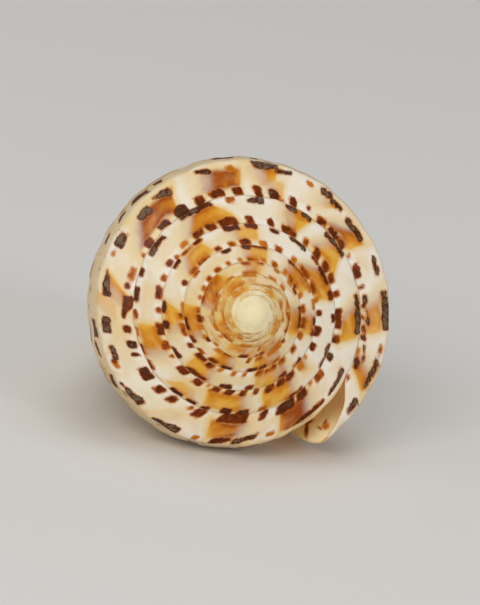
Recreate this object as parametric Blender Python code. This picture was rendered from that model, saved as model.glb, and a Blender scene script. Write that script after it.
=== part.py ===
"""A cone shell, grown as one piece, lying on its side with its slit-like opening down.

Metres, +Z up. The shell is worked out about its own coiling axis first: the apex is at the
origin, depth runs along +Y towards the narrow front end, and the whorls turn clockwise for
someone who looks at the apex along +Y. The finished shell is then rolled and tipped to lie
as it rests on a table, with its box's bottom centre at the origin.
"""

import math

import bmesh
import bpy
import numpy as np
from mathutils import Matrix, Vector

MM = 0.001
TURN = 360.0

# Driving dimensions of the spiral, read from the apex view.
SEAM_RADIUS = 13.26 * MM
GROWTH_PER_TURN = 1.313
FIRST_TURNS_BACK = 7.75
LIP_ANGLE = 300.0
LIP_TRIM = 0.064
LIP_TRIM_ANGLE = 190.0

# The spire: how deep a seam lies under the apex, and how a whorl bends between two seams.
SPIRE_SLOPE = 1.12
SPIRE_FLATTENING = 31.4 * MM
APEX_BLUNTING = 0.6 * MM
RAMP_LIFT = math.radians(6.0)
SHOULDER_STEEPNESS = math.radians(76.0)
SHOULDER_TIGHTNESS = 0.38

# The body whorl's side and front end.
LENGTH = 64.5 * MM
SIDE_TAPER = 0.41
SHOULDER_FLARE = 0.25
SHOULDER_REACH = 0.3
FRONT_RADIUS = 4.8 * MM
FRONT_GROWTH_PER_TURN = 1.9
FRONT_STEP = 3.5 * MM
FRONT_BLEND = 2.0 * MM

# The growth lines lean back to the seam and run almost straight down the side.
SEAM_NOTCH = 22.5
NOTCH_WIDTH = 0.33
SIDE_LEAN = 6.0
SIDE_LEAN_DEPTH = 9.0 * MM

# The wall and the hollow behind the lip.
WALL = 1.1 * MM
LIP_EDGE = 0.75 * MM
LIP_BEVEL_ANGLE = 30.0
HOLLOW_ANGLE = 300.0

# Facets.
STEPS_PER_TURN = 48
SLOPE_STEP = 2.0
RAMP_ROWS = (0.0, 0.14, 0.4, 0.7, 0.9, 1.0)
SIDE_ROWS = (0.035, 0.08, 0.14, 0.22, 0.32, 0.43, 0.55, 0.67, 0.79, 0.9, 1.0)

# How the shell lies: rolled about its axis, then tipped until its side is on the table.
ROLL = math.radians(-5.6)
TIP = math.radians(-15.4)

SHELL_COLOUR = (0.78, 0.66, 0.48, 1.0)
SHELL_ROUGHNESS = 0.3

SEAM_ROW = len(RAMP_ROWS) - 1
FRONT_ROW = SEAM_ROW + len(SIDE_ROWS)


def seam_radius(angle):
    """Radius of the seam at a running angle: it grows by the same ratio on every turn."""
    return SEAM_RADIUS * GROWTH_PER_TURN ** (angle / TURN)


def rim_radius(angle):
    """Radius of a whorl's outer seam, drawn in a little where the lip closes the last whorl."""
    start = LIP_ANGLE + SEAM_NOTCH - LIP_TRIM_ANGLE
    part = np.clip((angle - start) / LIP_TRIM_ANGLE, 0.0, None)
    return seam_radius(angle + TURN) * (1.0 - LIP_TRIM * part ** 2)


def spire_depth(radius):
    """Depth of a seam under the apex: steep at the tip and flatter towards the shoulder."""
    return SPIRE_SLOPE * radius / (1.0 + radius / SPIRE_FLATTENING)


def ramp_point(angle, share):
    """Radius and depth on the ramp, a cubic curve from the inner seam to the outer one."""
    inner = seam_radius(angle)
    outer = rim_radius(angle)
    top = spire_depth(inner)
    bottom = spire_depth(outer)
    chord = np.hypot(outer - inner, bottom - top)
    slope = np.arctan2(bottom - top, outer - inner) - RAMP_LIFT
    pull_in = share ** 3 - 2.0 * share ** 2 + share
    pull_out = (share ** 3 - share ** 2) * SHOULDER_TIGHTNESS
    blend = 3.0 * share ** 2 - 2.0 * share ** 3
    steep = SHOULDER_STEEPNESS
    radius = inner + (outer - inner) * blend
    radius = radius + chord * (pull_in * np.cos(slope) + pull_out * math.cos(steep))
    depth = top + (bottom - top) * blend
    depth = depth + chord * (pull_in * np.sin(slope) + pull_out * math.sin(steep))
    return radius, depth


def side_point(angle, share):
    """Radius and depth on the side: a flare past the seam, a straight taper, then the front."""
    outer = rim_radius(angle)
    top = spire_depth(outer)
    turns_back = (LIP_ANGLE + SEAM_NOTCH - angle) / TURN
    front = FRONT_RADIUS * FRONT_GROWTH_PER_TURN ** (-turns_back)
    depth = top + (LENGTH - FRONT_STEP * turns_back - top) * share
    reach = SHOULDER_REACH * outer
    bend = (SHOULDER_FLARE + SIDE_TAPER) * reach * (1.0 - np.exp(-(depth - top) / reach))
    cone = outer - SIDE_TAPER * (depth - top) + bend
    radius = front + FRONT_BLEND * np.logaddexp(0.0, (cone - front) / FRONT_BLEND)
    return radius, depth


def growth_lean(ramp_share, side_depth):
    """Degrees by which a growth line has run ahead of the seam it started from."""
    notch = 1.0 - math.exp(-1.0 / NOTCH_WIDTH)
    on_ramp = SEAM_NOTCH * (1.0 - np.exp(-ramp_share / NOTCH_WIDTH)) / notch
    return on_ramp + SIDE_LEAN * (1.0 - np.exp(-side_depth / SIDE_LEAN_DEPTH))


def shell_point(stage, row):
    """Place on the outer surface for a stage of growth in degrees and a row's number."""
    if row <= SEAM_ROW:
        angle = stage + growth_lean(RAMP_ROWS[row], 0.0)
        radius, depth = ramp_point(angle, RAMP_ROWS[row])
    else:
        share = SIDE_ROWS[row - SEAM_ROW - 1]
        angle = stage + growth_lean(1.0, share * LENGTH)
        radius, depth = side_point(angle, share)
    turn = np.radians(angle)
    return np.array((-radius * np.sin(turn), depth, -radius * np.cos(turn)))


def inner_point(stage, row):
    """Place on the inside of the wall: the outer place moved in by the wall's thickness."""
    along = shell_point(stage + SLOPE_STEP, row) - shell_point(stage - SLOPE_STEP, row)
    below = shell_point(stage, min(row + 1, FRONT_ROW))
    across = below - shell_point(stage, row - 1)
    inward = np.cross(across, along)
    inward = inward / np.linalg.norm(inward)
    opened = min(1.0, (LIP_ANGLE - stage) / LIP_BEVEL_ANGLE)
    return shell_point(stage, row) + inward * (LIP_EDGE + (WALL - LIP_EDGE) * opened)


def lay_down():
    """Turn the shell from its own axis to the way it lies."""
    return Matrix.Rotation(TIP, 4, "X") @ Matrix.Rotation(ROLL, 4, "Y")


def grow_shell():
    """Build the shell as one closed body, growth line by growth line."""
    mesh = bmesh.new()
    lay = lay_down()
    last = round(FIRST_TURNS_BACK * STEPS_PER_TURN)
    notch_steps = round(SEAM_NOTCH * STEPS_PER_TURN / TURN)
    around = STEPS_PER_TURN + notch_steps
    hollow_start = last - round(HOLLOW_ANGLE * STEPS_PER_TURN / TURN)
    side_start = hollow_start - around
    step_angle = TURN / STEPS_PER_TURN
    outer = {}
    inner = {}

    def put(place):
        return mesh.verts.new(lay @ Vector(place))

    def stage_of(column):
        return LIP_ANGLE + (column - last) * step_angle

    for column in range(last + 1):
        rows = FRONT_ROW if column >= side_start else SEAM_ROW
        for row in range(rows + 1):
            if row == 0 and column >= around:
                outer[column, 0] = outer[column - around, SEAM_ROW]
            else:
                outer[column, row] = put(shell_point(stage_of(column), row))
    for column in range(hollow_start, last + 1):
        inner[column, 0] = outer[column - around, SEAM_ROW + 1]
        for row in range(1, FRONT_ROW + 1):
            inner[column, row] = put(inner_point(stage_of(column), row))

    def face(*corners):
        mesh.faces.new(corners)

    for column in range(last):
        for row in range(FRONT_ROW):
            covered = row == SEAM_ROW and column < last - around
            if (column, row + 1) in outer and not covered:
                face(outer[column, row], outer[column + 1, row],
                     outer[column + 1, row + 1], outer[column, row + 1])
    for column in range(hollow_start, last):
        for row in range(FRONT_ROW):
            face(inner[column, row], inner[column, row + 1],
                 inner[column + 1, row + 1], inner[column + 1, row])
        face(outer[column, FRONT_ROW], outer[column + 1, FRONT_ROW],
             inner[column + 1, FRONT_ROW], inner[column, FRONT_ROW])
    for row in range(FRONT_ROW):
        face(outer[last, row], outer[last, row + 1], inner[last, row + 1], inner[last, row])

    for row in range(1, SEAM_ROW + 1):
        face(inner[hollow_start, 0], inner[hollow_start, row], inner[hollow_start, row + 1])
    for row in range(SEAM_ROW + 1, FRONT_ROW):
        face(inner[hollow_start, row], inner[hollow_start, row + 1],
             outer[side_start, row + 1], outer[side_start, row])

    core = [outer[column, FRONT_ROW] for column in range(side_start, hollow_start + 1)]
    core.append(inner[hollow_start, FRONT_ROW])
    tip = put((0.0, LENGTH - FRONT_STEP, 0.0))
    for index, corner in enumerate(core):
        face(corner, core[index - 1], tip)

    start = [outer[column, 0] for column in range(around)]
    start += [outer[0, row] for row in range(SEAM_ROW, 0, -1)]
    apex = put((0.0, APEX_BLUNTING, 0.0))
    for index, corner in enumerate(start):
        face(corner, start[index - 1], apex)

    bmesh.ops.triangulate(mesh, faces=mesh.faces)
    bmesh.ops.recalc_face_normals(mesh, faces=mesh.faces)
    if mesh.calc_volume(signed=True) < 0.0:
        bmesh.ops.reverse_faces(mesh, faces=mesh.faces)
    return mesh


def shell_material():
    """Glossy cream shell."""
    material = bpy.data.materials.new("cream_shell")
    material.use_nodes = True
    shader = material.node_tree.nodes["Principled BSDF"]
    shader.inputs["Base Color"].default_value = SHELL_COLOUR
    shader.inputs["Roughness"].default_value = SHELL_ROUGHNESS
    shader.inputs["Metallic"].default_value = 0.0
    return material


def clear_scene():
    """Remove whatever the scene already holds."""
    for thing in list(bpy.data.objects):
        bpy.data.objects.remove(thing, do_unlink=True)


def main():
    """Make the shell and stand its box's bottom centre on the origin."""
    clear_scene()
    grown = grow_shell()
    places = np.array([vertex.co[:] for vertex in grown.verts])
    low, high = places.min(axis=0), places.max(axis=0)
    centre = Vector(((low[0] + high[0]) / 2.0, (low[1] + high[1]) / 2.0, low[2]))
    bmesh.ops.translate(grown, verts=grown.verts, vec=-centre)
    data = bpy.data.meshes.new("shell")
    grown.to_mesh(data)
    grown.free()
    data.shade_smooth()
    data.materials.append(shell_material())
    shell = bpy.data.objects.new("shell", data)
    bpy.context.scene.collection.objects.link(shell)


if __name__ == "__main__":
    main()
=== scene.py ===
"""Looks of a cone shell that lies on its side: its fine surface, colour pattern and studio.

The shell is worked out about its own coiling axis first, in metres: the apex is at the
origin, depth runs along +Y towards the narrow front end, and the whorls turn clockwise for
someone who looks at the apex along +Y. It is then rolled and tipped to lie as the CAD node
lies. Running angles are in degrees: 0 to 300 is the last whorl, and earlier whorls are
negative.
"""

import logging
import math
from collections.abc import Iterator
from dataclasses import dataclass, field
from enum import Enum
from typing import NamedTuple

import bmesh
import bpy
import numpy as np
from mathutils import Matrix, Vector


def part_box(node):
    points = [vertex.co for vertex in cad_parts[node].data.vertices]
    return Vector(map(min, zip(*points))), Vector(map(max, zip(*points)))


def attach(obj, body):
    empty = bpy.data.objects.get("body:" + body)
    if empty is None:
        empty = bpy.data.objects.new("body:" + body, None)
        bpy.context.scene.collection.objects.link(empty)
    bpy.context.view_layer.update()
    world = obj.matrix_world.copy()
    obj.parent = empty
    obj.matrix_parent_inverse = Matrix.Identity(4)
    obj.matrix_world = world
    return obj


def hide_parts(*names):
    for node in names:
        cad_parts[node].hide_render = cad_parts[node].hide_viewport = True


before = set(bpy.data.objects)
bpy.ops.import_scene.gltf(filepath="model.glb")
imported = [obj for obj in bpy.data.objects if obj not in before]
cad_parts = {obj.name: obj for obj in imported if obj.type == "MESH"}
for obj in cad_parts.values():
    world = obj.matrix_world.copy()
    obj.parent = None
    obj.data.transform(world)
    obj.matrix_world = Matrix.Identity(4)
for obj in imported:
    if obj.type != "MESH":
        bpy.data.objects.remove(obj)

LOG = logging.getLogger("cone_shell")
MM = 0.001
TURN = 360.0
NOISE_MEAN = 0.5
FAR_OFF = 9.0
FLOAT = "NodeSocketFloat"
VECTOR = "NodeSocketVector"
COLOUR = "NodeSocketColor"
Colour = tuple[float, float, float]
Socket = bpy.types.NodeSocket
Sockets = dict[str, bpy.types.NodeSocket]
Fed = Socket | str | float | tuple[float, ...]
Array = np.ndarray
Values = dict[str, Array]


class Tone(Enum):
    """How dark a mark is, from plain orange to black-grey."""

    ORANGE = 0.0
    RUST = 0.3
    BROWN = 0.6
    DARK = 0.8
    GREY = 1.0


class Shape(Enum):
    """Outline of a mark along the whorl."""

    BLOCK = "block"
    COMET = "comet"
    WEDGE = "wedge"
    SLASH = "slash"


class Edge(Enum):
    """What the low and high side of a mark are measured from."""

    INNER_SEAM = "millimetres outward from the seam above the whorl"
    OUTER_SEAM = "millimetres inward from the seam below the whorl"


class Mark(NamedTuple):
    """One dark mark, in degrees along the whorl as seen from the apex, and its height."""

    start: float
    end: float
    low: float
    high: float
    tone: Tone = Tone.BROWN
    shape: Shape = Shape.BLOCK


class Cloud(NamedTuple):
    """One orange cloud, a slanted four-cornered patch.

    Its corners are in degrees along the whorl as seen from the apex, and its low and high
    side in millimetres outward from the seam above the whorl.
    """

    start_low: float
    start_high: float
    end_low: float
    end_high: float
    low: float
    high: float
    red: float = 0.3
    depth: float = 1.0


class Spot(NamedTuple):
    """One mark in the hollow, at a pixel of the photograph, with its half sizes in pixels."""

    across_pixel: float
    down_pixel: float
    half_length: float
    half_width: float
    tilt: float
    tone: Tone = Tone.BROWN


class Wave(NamedTuple):
    """One sine round the shell: its pace, its phase in degrees and its strength."""

    pace: float
    phase: float = 0.0
    strength: float = 1.0


def soft_step(value: Array) -> Array:
    """Smooth climb from 0 to 1 while the value goes from 0 to 1."""
    part = np.clip(value, 0.0, 1.0)
    return part * part * (3.0 - 2.0 * part)


def add_waves(angle: Array, waves: tuple[Wave, ...]) -> Array:
    """Sum of each wave's strength times the sine of pace times angle plus phase."""
    return sum(wave.strength * np.sin(np.radians(angle * wave.pace + wave.phase)) for wave in waves)


def around_axis(angle: Array, radius: Array, depth: Array) -> Array:
    """Place about the shell's own axis: minus radius times sine, depth, minus radius times cosine.

    Args:
        angle: running angle in degrees.
        radius: distance from the axis.
        depth: distance below the apex.

    Returns:
        An array with x, y, z last.
    """
    turn = np.radians(angle)
    return np.stack((-radius * np.sin(turn), depth, -radius * np.cos(turn)), axis=-1)


@dataclass(frozen=True)
class ShellForm:
    """Sizes of the spiral, in metres and degrees, and the surface that they give."""

    seam_radius_at_zero: float = 13.26 * MM
    growth_per_turn: float = 1.313
    lip_angle: float = 300.0
    lip_trim: float = 0.076
    lip_trim_angle: float = 190.0
    spire_slope: float = 1.12
    spire_flattening: float = 31.4 * MM
    apex_blunting: float = 0.6 * MM
    ramp_lift: float = math.radians(6.0)
    shoulder_steepness: float = math.radians(74.0)
    shoulder_tightness: float = 0.38
    length: float = 64.5 * MM
    side_taper: float = 0.41
    shoulder_flare: float = 0.29
    shoulder_reach: float = 0.3
    front_radius: float = 4.8 * MM
    front_growth_per_turn: float = 1.9
    front_step: float = 3.5 * MM
    front_blend: float = 2.0 * MM
    seam_notch: float = 22.5
    notch_width: float = 0.33
    side_lean: float = 6.0
    side_lean_depth: float = 9.0 * MM
    wall: float = 1.1 * MM
    lip_edge: float = 0.4 * MM
    lip_bevel_angle: float = 30.0
    lip_shares: tuple[float, ...] = (0.0, 0.16, 0.28, 0.40, 0.50, 0.58, 0.66, 0.72, 0.80, 1.0)
    lip_leads: tuple[float, ...] = (0.0, 3.3, 6.0, 8.3, 10.9, 13.4, 16.0, 19.0, 22.0, 22.5)
    wear_start: float = -4.2
    wear_turns: float = 1.8
    roll: float = math.radians(-5.6)
    tip: float = math.radians(-15.4)

    def seam_radius(self, angle: Array) -> Array:
        """Radius of the seam: it grows by the same ratio on every turn."""
        return self.seam_radius_at_zero * self.growth_per_turn ** (angle / TURN)

    def rim_radius(self, angle: Array) -> Array:
        """Radius of a whorl's outer seam, drawn in a little where the lip closes the last whorl.

        Args:
            angle: running angle in degrees.

        Returns:
            The radius in metres: the seam's a turn later, less a part that grows as a square.
        """
        start = self.lip_angle + self.seam_notch - self.lip_trim_angle
        part = np.clip((angle - start) / self.lip_trim_angle, 0.0, None)
        return self.seam_radius(angle + TURN) * (1.0 - self.lip_trim * part ** 2)

    def spire_depth(self, radius: Array) -> Array:
        """Depth of a seam under the apex: steep at the tip and flatter towards the shoulder."""
        return self.spire_slope * radius / (1.0 + radius / self.spire_flattening)

    def ramp_chord(self, angle: Array) -> Array:
        """Straight distance across a whorl's ramp, from its inner seam to its rim.

        Args:
            angle: running angle in degrees.

        Returns:
            The distance in metres.
        """
        inner = self.seam_radius(angle)
        outer = self.rim_radius(angle)
        return np.hypot(outer - inner, self.spire_depth(outer) - self.spire_depth(inner))

    def ramp_point(self, angle: Array, share: Array) -> tuple[Array, Array]:
        """Radius and depth on the ramp, a cubic curve from the inner seam to the outer one.

        The oldest whorls are worn, so there the curve flattens to a straight line.

        Args:
            angle: running angle in degrees.
            share: 0 at the inner seam and 1 at the rim.

        Returns:
            The radius and the depth, in metres.
        """
        inner = self.seam_radius(angle)
        outer = self.rim_radius(angle)
        top = self.spire_depth(inner)
        bottom = self.spire_depth(outer)
        chord = self.ramp_chord(angle)
        slope = np.arctan2(bottom - top, outer - inner) - self.ramp_lift
        fresh = 1.0 - soft_step((self.wear_start - angle / TURN) / self.wear_turns)
        pull_in = (share ** 3 - 2.0 * share ** 2 + share) * fresh
        pull_out = (share ** 3 - share ** 2) * self.shoulder_tightness * fresh
        blend = share + (3.0 * share ** 2 - 2.0 * share ** 3 - share) * fresh
        steep = self.shoulder_steepness
        radius = inner + (outer - inner) * blend
        radius = radius + chord * (pull_in * np.cos(slope) + pull_out * math.cos(steep))
        depth = top + (bottom - top) * blend
        depth = depth + chord * (pull_in * np.sin(slope) + pull_out * math.sin(steep))
        return radius, depth

    def side_point(self, angle: Array, share: Array) -> tuple[Array, Array]:
        """Radius and depth on the side: a flare past the rim, a straight taper, then the front.

        Args:
            angle: running angle in degrees.
            share: 0 at the rim and 1 at the front end.

        Returns:
            The radius and the depth, in metres.
        """
        outer = self.rim_radius(angle)
        top = self.spire_depth(outer)
        turns_back = (self.lip_angle + self.seam_notch - angle) / TURN
        front = self.front_radius * self.front_growth_per_turn ** (-turns_back)
        depth = top + (self.length - self.front_step * turns_back - top) * share
        reach = self.shoulder_reach * outer
        flare = (self.shoulder_flare + self.side_taper) * reach
        cone = outer - self.side_taper * (depth - top) + flare * (1.0 - np.exp(-(depth - top) / reach))
        radius = front + self.front_blend * np.logaddexp(0.0, (cone - front) / self.front_blend)
        return radius, depth

    def growth_lean(self, ramp_share: Array, side_depth: Array) -> Array:
        """Degrees by which a growth line has run ahead of the seam it started from.

        Args:
            ramp_share: how far across the ramp the place is, 1 anywhere on the side.
            side_depth: metres below the rim, 0 anywhere on the ramp.

        Returns:
            The lead, in degrees.
        """
        notch = 1.0 - math.exp(-1.0 / self.notch_width)
        on_ramp = self.seam_notch * (1.0 - np.exp(-ramp_share / self.notch_width)) / notch
        return on_ramp + self.side_lean * (1.0 - np.exp(-side_depth / self.side_lean_depth))

    def lip_lead(self, ramp_share: Array, side_depth: Array) -> Array:
        """Degrees by which the lip's edge has run ahead of the seam: a wide notch, then the side.

        Args:
            ramp_share: how far across the ramp the place is, 1 anywhere on the side.
            side_depth: metres below the rim, 0 anywhere on the ramp.

        Returns:
            The lead, in degrees.
        """
        on_ramp = np.interp(ramp_share, self.lip_shares, self.lip_leads)
        return on_ramp + self.side_lean * (1.0 - np.exp(-side_depth / self.side_lean_depth))

    def lay_down(self) -> Array:
        """Rotation from the shell's own axis to the way it lies, as a 3 by 3 array."""
        turn = Matrix.Rotation(self.tip, 3, "X") @ Matrix.Rotation(self.roll, 3, "Y")
        return np.array(turn)


@dataclass(frozen=True)
class PhotoView:
    """Where the camera stands about the shell's axis, and the frame that it sees."""

    lean_left: float = math.radians(11.4)
    lean_up: float = math.radians(-0.81)
    frame_width: int = 480
    frame_height: int = 605
    pixels_per_mm: float = 7.666
    apex_pixel: tuple[float, float] = (256.87, 313.54)
    polar_centre_pixel: tuple[float, float] = (257.0, 314.5)
    distance: float = 2.0
    exact_depth: float = 11.0 * MM
    sensor_height: float = 36.0

    def axes(self) -> tuple[Array, Array, Array]:
        """The camera's right, up and forward directions, about the shell's own axis.

        Returns:
            Three unit arrays.
        """
        right = np.array((math.cos(self.lean_left), -math.sin(self.lean_left), 0.0))
        level = np.array((math.sin(self.lean_left), math.cos(self.lean_left), 0.0))
        rise = np.array((0.0, 0.0, 1.0))
        up = rise * math.cos(self.lean_up) - level * math.sin(self.lean_up)
        forward = level * math.cos(self.lean_up) + rise * math.sin(self.lean_up)
        return right, up, forward

    def polar(self, places: Array, angle: Array) -> tuple[Array, Array]:
        """Angle and distance about the middle of the spire, as the camera sees them.

        The seen angle is the place's own running angle plus what the camera's lean shifts it.

        Args:
            places: points about the shell's own axis, with x, y, z last.
            angle: their running angles in degrees.

        Returns:
            The seen running angle in degrees and the seen distance in millimetres.
        """
        right, up, _ = self.axes()
        across = (self.polar_centre_pixel[0] - self.apex_pixel[0]) / self.pixels_per_mm
        down = (self.polar_centre_pixel[1] - self.apex_pixel[1]) / self.pixels_per_mm
        seen_x = places @ right / MM - across
        seen_y = places @ up / MM + down
        seen = np.degrees(np.arctan2(-seen_x, -seen_y))
        shift = (seen - angle + TURN / 2.0) % TURN - TURN / 2.0
        return angle + shift, np.hypot(seen_x, seen_y)


ORANGE, RUST, BROWN, DARK, GREY = Tone
BLOCK, COMET, WEDGE, SLASH = Shape
Row = tuple[float | Tone | Shape, ...]

# The rows below are the fields of Mark, Cloud or Spot in their order, and the tables' keys are
# whorls counted back from the lip's.
UNDER_SEAM_MARKS: dict[int, tuple[Row, ...]] = {
    0: (
        (-5.5, -2, 0.0, 1.1), (5, 20, -0.1, 1.25), (28, 33, 0.1, 1.5), (34.5, 36.5, 0.3, 0.9, RUST),
        (43, 47, 0.4, 1.5), (50.5, 54.5, 0.4, 1.6), (59, 65, 0.4, 1.7, DARK),
        (71, 72.3, 0.4, 1.4, DARK), (75, 78, 0.4, 1.5, DARK), (82, 85, 0.6, 1.5),
        (88, 98, 0.0, 1.4, BROWN, WEDGE), (101.5, 103.5, 0.6, 1.4), (105, 111, 0.4, 1.2, RUST),
        (116.5, 118.5, 0.1, 0.6, RUST), (121.5, 126, 0.0, 1.05), (131, 136.5, 0.1, 1.05, DARK),
        (140.5, 146.5, -0.2, 1.15, DARK), (151, 155.5, 0.1, 1.15), (158, 164.5, 0.2, 1.2),
        (169, 173, 0.1, 1.1), (178.5, 182, 0.0, 1.35), (186, 190.5, -0.3, 1.2, DARK),
        (191.5, 193, 0.0, 0.45, ORANGE), (196, 199.5, 0.0, 1.05), (205, 207, 0.55, 1.1),
        (212, 218, 0.05, 0.95), (220, 226, 0.0, 0.85, DARK), (226.5, 232.5, 0.0, 0.85),
        (237, 238.5, 0.0, 0.55, ORANGE), (243, 250, 0.0, 0.95), (254.5, 256.3, 0.1, 0.9),
        (259.5, 264.5, 0.45, 1.0, GREY), (264, 267.5, 0.15, 0.75, DARK),
        (268, 275.5, 0.75, 1.12, GREY), (270.5, 273, 0.15, 0.5, RUST), (275, 279, 0.1, 0.65),
        (280.5, 284, 0.1, 0.95), (287, 291.5, 0.75, 1.35, GREY, SLASH),
        (288, 292.5, 0.0, 0.5, RUST), (291, 294.5, 1.0, 1.35, GREY), (294, 299, 0.15, 0.95, DARK),
        (303.5, 307, 0.1, 0.6),
    ),
    -1: (
        (-1, 2.5, 0.0, 0.7), (8, 13, 0.05, 0.85), (17, 23, 0.05, 0.75), (26, 32, 0.05, 0.9),
        (33, 35, 0.1, 0.5, ORANGE), (38.5, 44, 0.1, 0.95), (49.5, 56.5, 0.1, 0.95),
        (63, 65, 0.3, 0.85, RUST), (69, 74, 0.1, 0.9, RUST), (78, 85, -0.3, 1.0),
        (91, 94, 0.0, 0.8, RUST), (98.5, 106, 0.1, 0.9), (110, 113.5, 0.1, 0.85, RUST),
        (118.5, 122.5, 0.2, 1.05), (125, 126.5, 0.1, 0.5, RUST), (131.5, 136, 0.2, 0.9, ORANGE),
        (140.5, 147, 0.1, 1.0), (150, 155, 0.0, 1.0), (157.5, 168, -0.1, 1.0),
        (173.5, 178, -0.1, 0.95), (186.5, 190.5, 0.1, 0.95), (196, 206, 0.05, 0.95),
        (212, 216, 0.1, 0.95, RUST), (221.5, 228, 0.0, 0.95), (231.5, 238.5, 0.0, 0.9),
        (241, 247.5, 0.0, 0.85), (253.5, 258, 0.0, 0.9, RUST), (266, 280, 0.0, 0.95),
        (284, 290, 0.1, 0.95), (298, 302.5, 0.0, 0.85, DARK), (311, 318.5, 0.1, 0.9, RUST),
        (321, 323.5, 0.0, 0.4, ORANGE), (327, 335, 0.0, 1.05), (336, 348.5, 0.0, 1.2, DARK),
    ),
    -2: (
        (10, 13, 0.0, 0.6, RUST), (19.5, 23, 0.0, 0.65, RUST), (31.5, 35, 0.0, 0.6, ORANGE),
        (39, 45.5, 0.0, 0.8), (47.5, 57, 0.0, 0.75), (63, 67, 0.1, 0.7),
        (73.5, 83, 0.1, 0.75, RUST), (86.5, 91, 0.1, 0.75, RUST), (91, 99, 0.0, 0.3, ORANGE),
        (112, 115.5, 0.2, 0.9), (121, 128.5, 0.0, 0.65, RUST), (131, 141, 0.0, 0.6, RUST),
        (147, 152, 0.1, 0.75), (158, 163, 0.1, 0.7, RUST), (167, 175, 0.0, 0.75),
        (182.5, 188, 0.0, 0.7, ORANGE), (195.5, 202, 0.0, 0.75, RUST),
        (211.5, 216, 0.1, 0.65, ORANGE), (222, 235, 0.0, 0.65, RUST), (239, 250, 0.0, 0.65, RUST),
        (254.5, 258, 0.0, 0.6, ORANGE), (266, 271, 0.1, 0.75), (281, 290, 0.05, 0.8),
        (297, 303, 0.05, 0.8), (310.5, 312, 0.0, 0.5, ORANGE), (317, 322.5, 0.1, 0.85, ORANGE),
        (327, 336, 0.0, 0.85), (337, 345, 0.0, 0.85), (346, 353.5, 0.0, 0.9),
    ),
    -3: (
        (8, 12, 0.0, 0.55, RUST), (32, 41, -0.1, 0.4, RUST), (43, 50, 0.0, 0.5, ORANGE),
        (60, 66, -0.1, 0.45), (65, 69, 0.2, 0.6, ORANGE), (75, 80, 0.0, 0.4, ORANGE),
        (82, 89, -0.1, 0.5), (92, 97, 0.1, 0.6, RUST), (105, 108, 0.1, 0.5, ORANGE),
        (114, 118.5, 0.0, 0.5, RUST), (124, 129.5, 0.0, 0.6, RUST), (135.5, 142, 0.05, 0.6, RUST),
        (149, 152.5, 0.1, 0.55, RUST), (161, 165, 0.0, 0.5, RUST), (170, 181, 0.0, 0.55, RUST),
        (185, 189, 0.2, 0.55, ORANGE), (196.5, 203, 0.0, 0.65, RUST), (212, 216, 0.1, 0.65, ORANGE),
        (220, 228, -0.1, 0.55, RUST), (230, 236, -0.1, 0.5, RUST), (244, 249, 0.0, 0.6, ORANGE),
        (258, 268, 0.0, 0.55, RUST), (273, 287, 0.0, 0.7, RUST), (292, 300, 0.0, 0.7, RUST),
        (309.5, 318, 0.0, 0.7, RUST), (327.5, 336, 0.0, 0.65, RUST), (340, 352, 0.2, 0.75, RUST),
        (354, 361, 0.1, 0.7, RUST),
    ),
    -4: (
        (-5, -2, 0.1, 0.6, RUST), (57, 60, 0.1, 0.4, ORANGE), (68, 78, -0.1, 0.3, ORANGE),
        (89, 95, -0.1, 0.2, ORANGE), (106, 118, -0.15, 0.2, RUST), (141, 148, -0.1, 0.3, ORANGE),
        (161, 179, 0.0, 0.35, RUST), (198, 210, 0.0, 0.3, ORANGE), (219, 228, 0.0, 0.4, ORANGE),
        (312, 318, 0.0, 0.35, RUST), (321, 345, 0.0, 0.4, ORANGE), (353, 361, 0.1, 0.5, RUST),
    ),
    -5: (
        (30, 41, 0.0, 0.3, ORANGE), (63, 92, -0.1, 0.1, ORANGE), (135, 156, -0.1, 0.15, ORANGE),
        (243, 285, 0.0, 0.15, ORANGE),
    ),
}

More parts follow.
